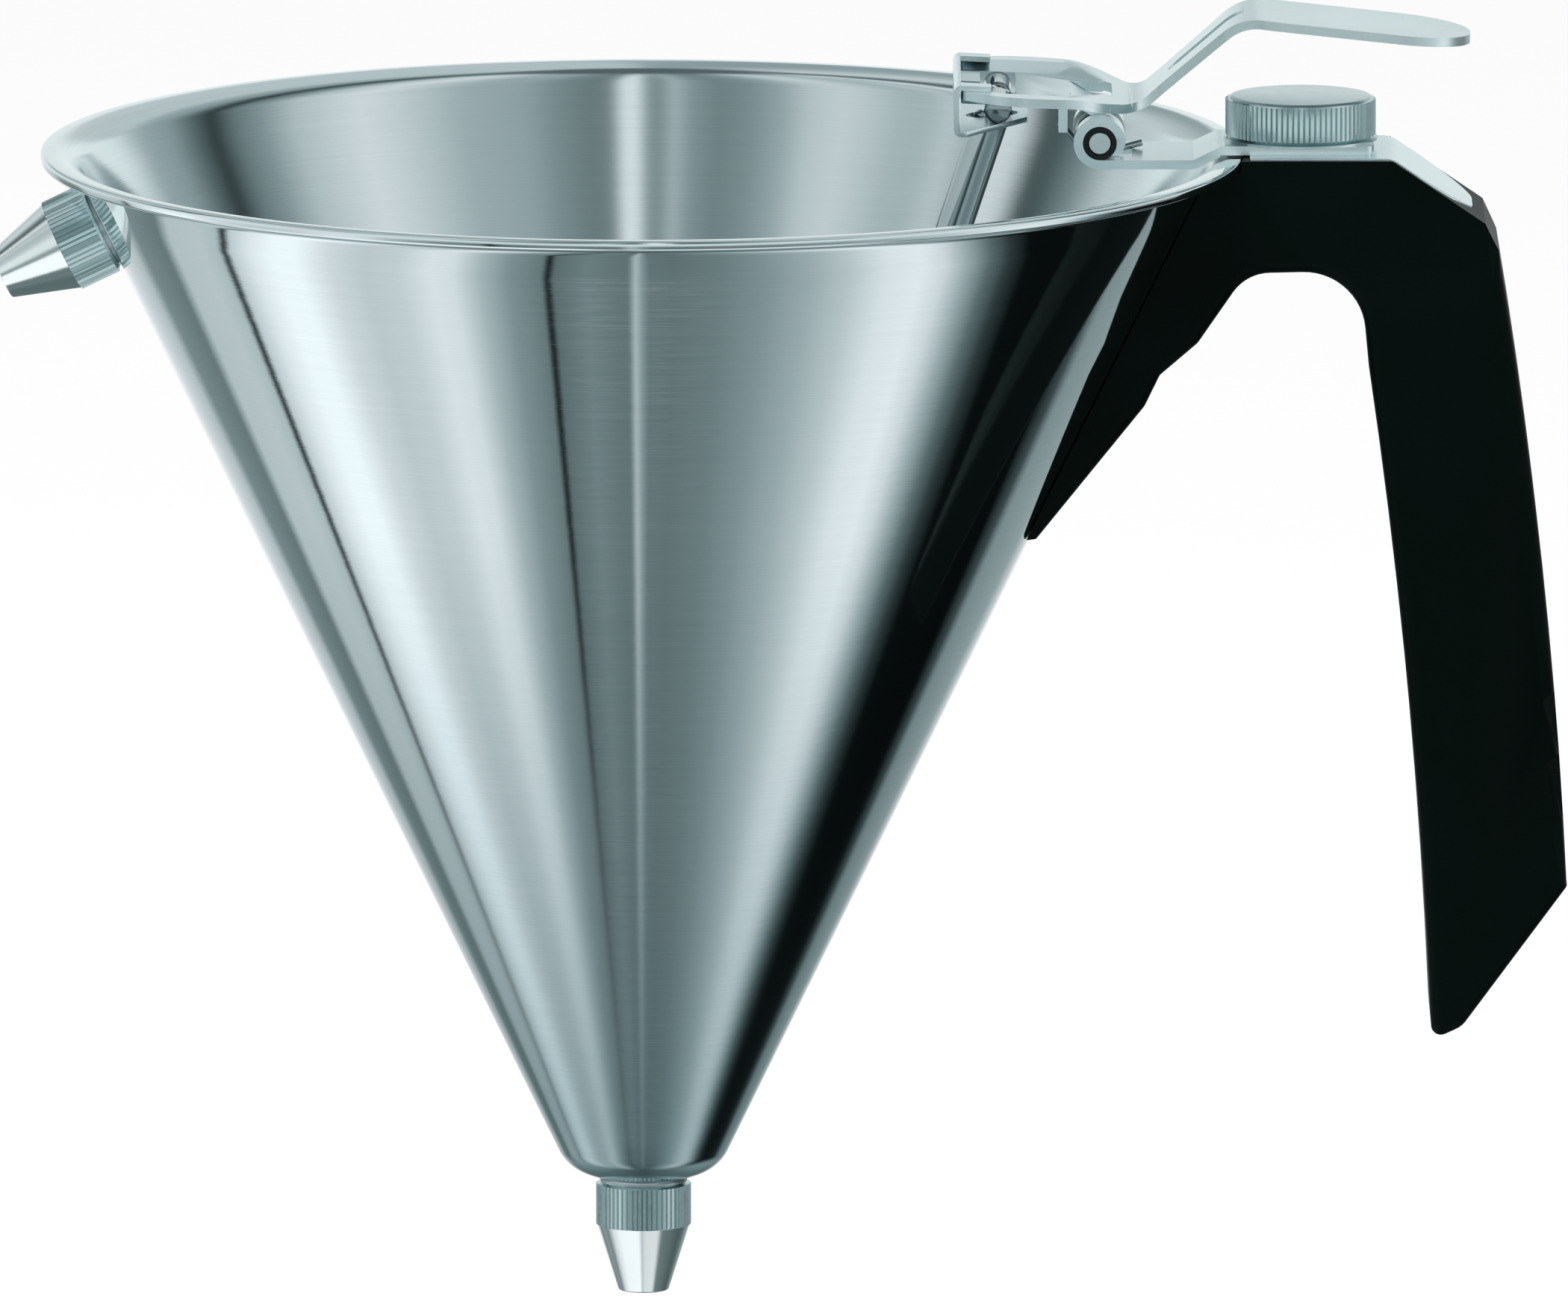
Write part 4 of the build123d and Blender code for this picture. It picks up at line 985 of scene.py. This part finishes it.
def light_world(context):
    """White behind the funnel, even light on it, and a ring of light and dark cards in what its steel mirrors."""
    settings = context.scene.piston_funnel
    half_angle, elevation = settings.cone.half_angle, settings.stage.elevation
    world = bpy.data.worlds.new("Studio")
    context.scene.world = world
    world.use_nodes = True
    shader = Shader(world.node_tree)
    direction = shader.node("ShaderNodeTexCoord").outputs["Generated"]
    x, y, z = shader.node("ShaderNodeSeparateXYZ", {0: direction}).outputs
    aside = shader.math("ABSOLUTE", x)
    turn = shader.math("ARCTAN2", aside, shader.math("MULTIPLY", y, -1.0))
    turn = shader.math("DIVIDE", turn, math.pi)
    right = shader.math("GREATER_THAN", x, 0.0)
    low = shader.mix(
        right,
        wall_cards(shader, turn, LEFT_LOW_CARDS, half_angle, elevation),
        wall_cards(shader, turn, RIGHT_LOW_CARDS, half_angle, elevation),
    )
    high = shader.mix(
        right,
        wall_cards(shader, turn, RIGHT_HIGH_CARDS, -half_angle, elevation),
        wall_cards(shader, turn, LEFT_HIGH_CARDS, -half_angle, elevation),
    )
    seen = shader.mix(shader.span(z, *LEVEL_FADE), low, LEVEL_LIGHT)
    seen = shader.mix(shader.span(z, *HIGH_FADE), seen, high)

    beside = shader.span(shader.scaled_sum(y, SMALL_SLOPE, z), *SMALL_FADE)
    beside = shader.math("MULTIPLY", beside, shader.math("LESS_THAN", z, SMALL_HIGHEST))
    beside = shader.math("MULTIPLY", beside, shader.math("LESS_THAN", y, SMALL_DEEPEST))
    way_round = shader.span(shader.math("MULTIPLY", turn, shader.math("SIGN", x)), -1.0, 1.0)
    small = shader.ramp(way_round, [(place, steel_light(brightness)) for place, brightness in SMALL_CARDS])
    seen = shader.mix(beside, seen, small)

    below = shader.span(shader.scaled_sum(y, BOTTOM_SLOPE, z), *BOTTOM_FADE)
    seen = shader.mix(below, seen, shader.ramp(aside, BOTTOM_LIGHT))
    seen = shader.mix(shader.span(z, *TOP_FADE), seen, TOP_LIGHT)

    # Matt surfaces are lit evenly, steel mirrors the cards, and the camera sees white
    path = shader.node("ShaderNodeLightPath")
    fill = settings.stage.fill
    colour = shader.mix(path.outputs["Is Glossy Ray"], (fill, fill, fill, 1.0), seen)
    colour = shader.mix(path.outputs["Is Camera Ray"], colour, (1.0, 1.0, 1.0, 1.0))
    light = shader.node("ShaderNodeBackground", {"Color": colour, "Strength": 1.0})
    shader.node("ShaderNodeOutputWorld", {"Surface": light.outputs[0]})


def floor_material():
    """A floor that looks white to the camera and keeps a soft shadow, and throws little light on the funnel."""
    material, shader = new_material("Pale floor")
    to_camera = shader.node("ShaderNodeLightPath").outputs["Is Camera Ray"]
    paint = shader.node("ShaderNodeBsdfDiffuse", {"Color": (0.5, 0.5, 0.5, 1.0)}).outputs[0]
    glow = shader.node("ShaderNodeEmission", {"Color": (1.0, 1.0, 1.0, 1.0), "Strength": 0.62}).outputs[0]
    white = shader.node("ShaderNodeAddShader", {0: paint, 1: glow}).outputs[0]
    floor = shader.node("ShaderNodeMixShader", {0: to_camera, 1: paint, 2: white}).outputs[0]
    shader.node("ShaderNodeOutputMaterial", {"Surface": floor})
    return material


FLOOR_HALF = 6.0
LAMP_SIZE = 1.4
LAMP_PLACE = (-0.7, -1.1, 1.5)
LAMP_AIM = (0.02, 0.0, -0.07)

# The photograph's frame in pixels, its scale in pixels per metre and the pixel where the origin stands
PHOTO_WIDTH, PHOTO_HEIGHT = 2100, 1736
PHOTO_SCALE = 8720
PHOTO_ORIGIN = (861, 199.5)
SENSOR_WIDTH = 36.0


class FUNNEL_OT_stage(bpy.types.Operator):
    """Set the floor, the light and the camera"""

    bl_idname = "funnel.stage"
    bl_label = "Stage"

    def execute(self, context):
        settings = context.scene.piston_funnel.stage
        context.scene.view_settings.view_transform = "Standard"
        light_world(context)

        level = CAD_LOW.z - settings.floor_drop
        corners = [
            (across * FLOOR_HALF, along * FLOOR_HALF, level) for across, along in ((-1, -1), (1, -1), (1, 1), (-1, 1))
        ]
        mesh = bpy.data.meshes.new("floor")
        mesh.from_pydata(corners, [], [(0, 1, 2, 3)])
        mesh.materials.append(floor_material())
        floor = bpy.data.objects.new("floor", mesh)
        context.collection.objects.link(floor)
        floor.visible_glossy = False

        lamp = bpy.data.lights.new("soft_lamp", "AREA")
        lamp.shape = "DISK"
        lamp.size = LAMP_SIZE
        lamp.energy = settings.lamp_power
        lamp_object = bpy.data.objects.new("soft_lamp", lamp)
        lamp_object.location = LAMP_PLACE
        way = Vector(LAMP_AIM) - Vector(LAMP_PLACE)
        lamp_object.rotation_euler = way.to_track_quat("-Z", "Y").to_euler()
        lamp_object.visible_glossy = False
        lamp_object.visible_camera = False
        context.collection.objects.link(lamp_object)

        elevation, distance = settings.elevation, settings.distance
        up = Vector((0, math.sin(elevation), math.cos(elevation)))
        back = Vector((0, -math.cos(elevation), math.sin(elevation)))
        aside = (PHOTO_WIDTH / 2 - PHOTO_ORIGIN[0]) / PHOTO_SCALE
        drop = (PHOTO_HEIGHT / 2 - PHOTO_ORIGIN[1]) / PHOTO_SCALE
        target = Vector((aside, 0, 0)) - up * drop
        camera = bpy.data.cameras.new("camera")
        camera.sensor_width = SENSOR_WIDTH
        camera.lens = SENSOR_WIDTH * distance / (PHOTO_WIDTH / PHOTO_SCALE)
        camera.clip_end = 60.0
        camera_object = bpy.data.objects.new("camera", camera)
        camera_object.location = target + back * distance
        camera_object.rotation_euler = (math.pi / 2 - elevation, 0, 0)
        context.collection.objects.link(camera_object)
        context.scene.camera = camera_object
        return {"FINISHED"}


OPERATORS = (
    FUNNEL_OT_cone,
    FUNNEL_OT_nozzles,
    FUNNEL_OT_knob,
    FUNNEL_OT_rod,
    FUNNEL_OT_lever,
    FUNNEL_OT_hinge,
    FUNNEL_OT_handle,
    FUNNEL_OT_fittings,
    FUNNEL_OT_stage,
)


class FUNNEL_PT_panel(bpy.types.Panel):
    """The funnel's pieces and settings"""

    bl_idname = "FUNNEL_PT_panel"
    bl_label = "Piston Funnel"
    bl_space_type = "VIEW_3D"
    bl_region_type = "UI"
    bl_category = "Funnel"

    def draw(self, context):
        settings = context.scene.piston_funnel
        for group in (settings.cone, settings.knurl, settings.sheet, settings.grip, settings.stage):
            box = self.layout.box()
            for name in group.bl_rna.properties.keys():
                if name not in {"rna_type", "name"}:
                    box.prop(group, name)
        for operator in OPERATORS:
            self.layout.operator(operator.bl_idname)


CLASSES = (
    FUNNEL_PG_cone,
    FUNNEL_PG_knurl,
    FUNNEL_PG_sheet,
    FUNNEL_PG_grip,
    FUNNEL_PG_stage,
    FUNNEL_PG_settings,
    *OPERATORS,
    FUNNEL_PT_panel,
)


def register():
    for item in CLASSES:
        bpy.utils.register_class(item)
    bpy.types.Scene.piston_funnel = bpy.props.PointerProperty(type=FUNNEL_PG_settings)


def unregister():
    del bpy.types.Scene.piston_funnel
    for item in reversed(CLASSES):
        bpy.utils.unregister_class(item)


def main():
    """Build everything."""
    register()
    make_materials(bpy.context.scene.piston_funnel)
    bpy.ops.funnel.cone()
    bpy.ops.funnel.nozzles()
    bpy.ops.funnel.knob()
    bpy.ops.funnel.rod()
    bpy.ops.funnel.lever()
    bpy.ops.funnel.hinge()
    bpy.ops.funnel.handle()
    bpy.ops.funnel.fittings()
    bpy.ops.funnel.stage()


if __name__ == "__main__":
    main()
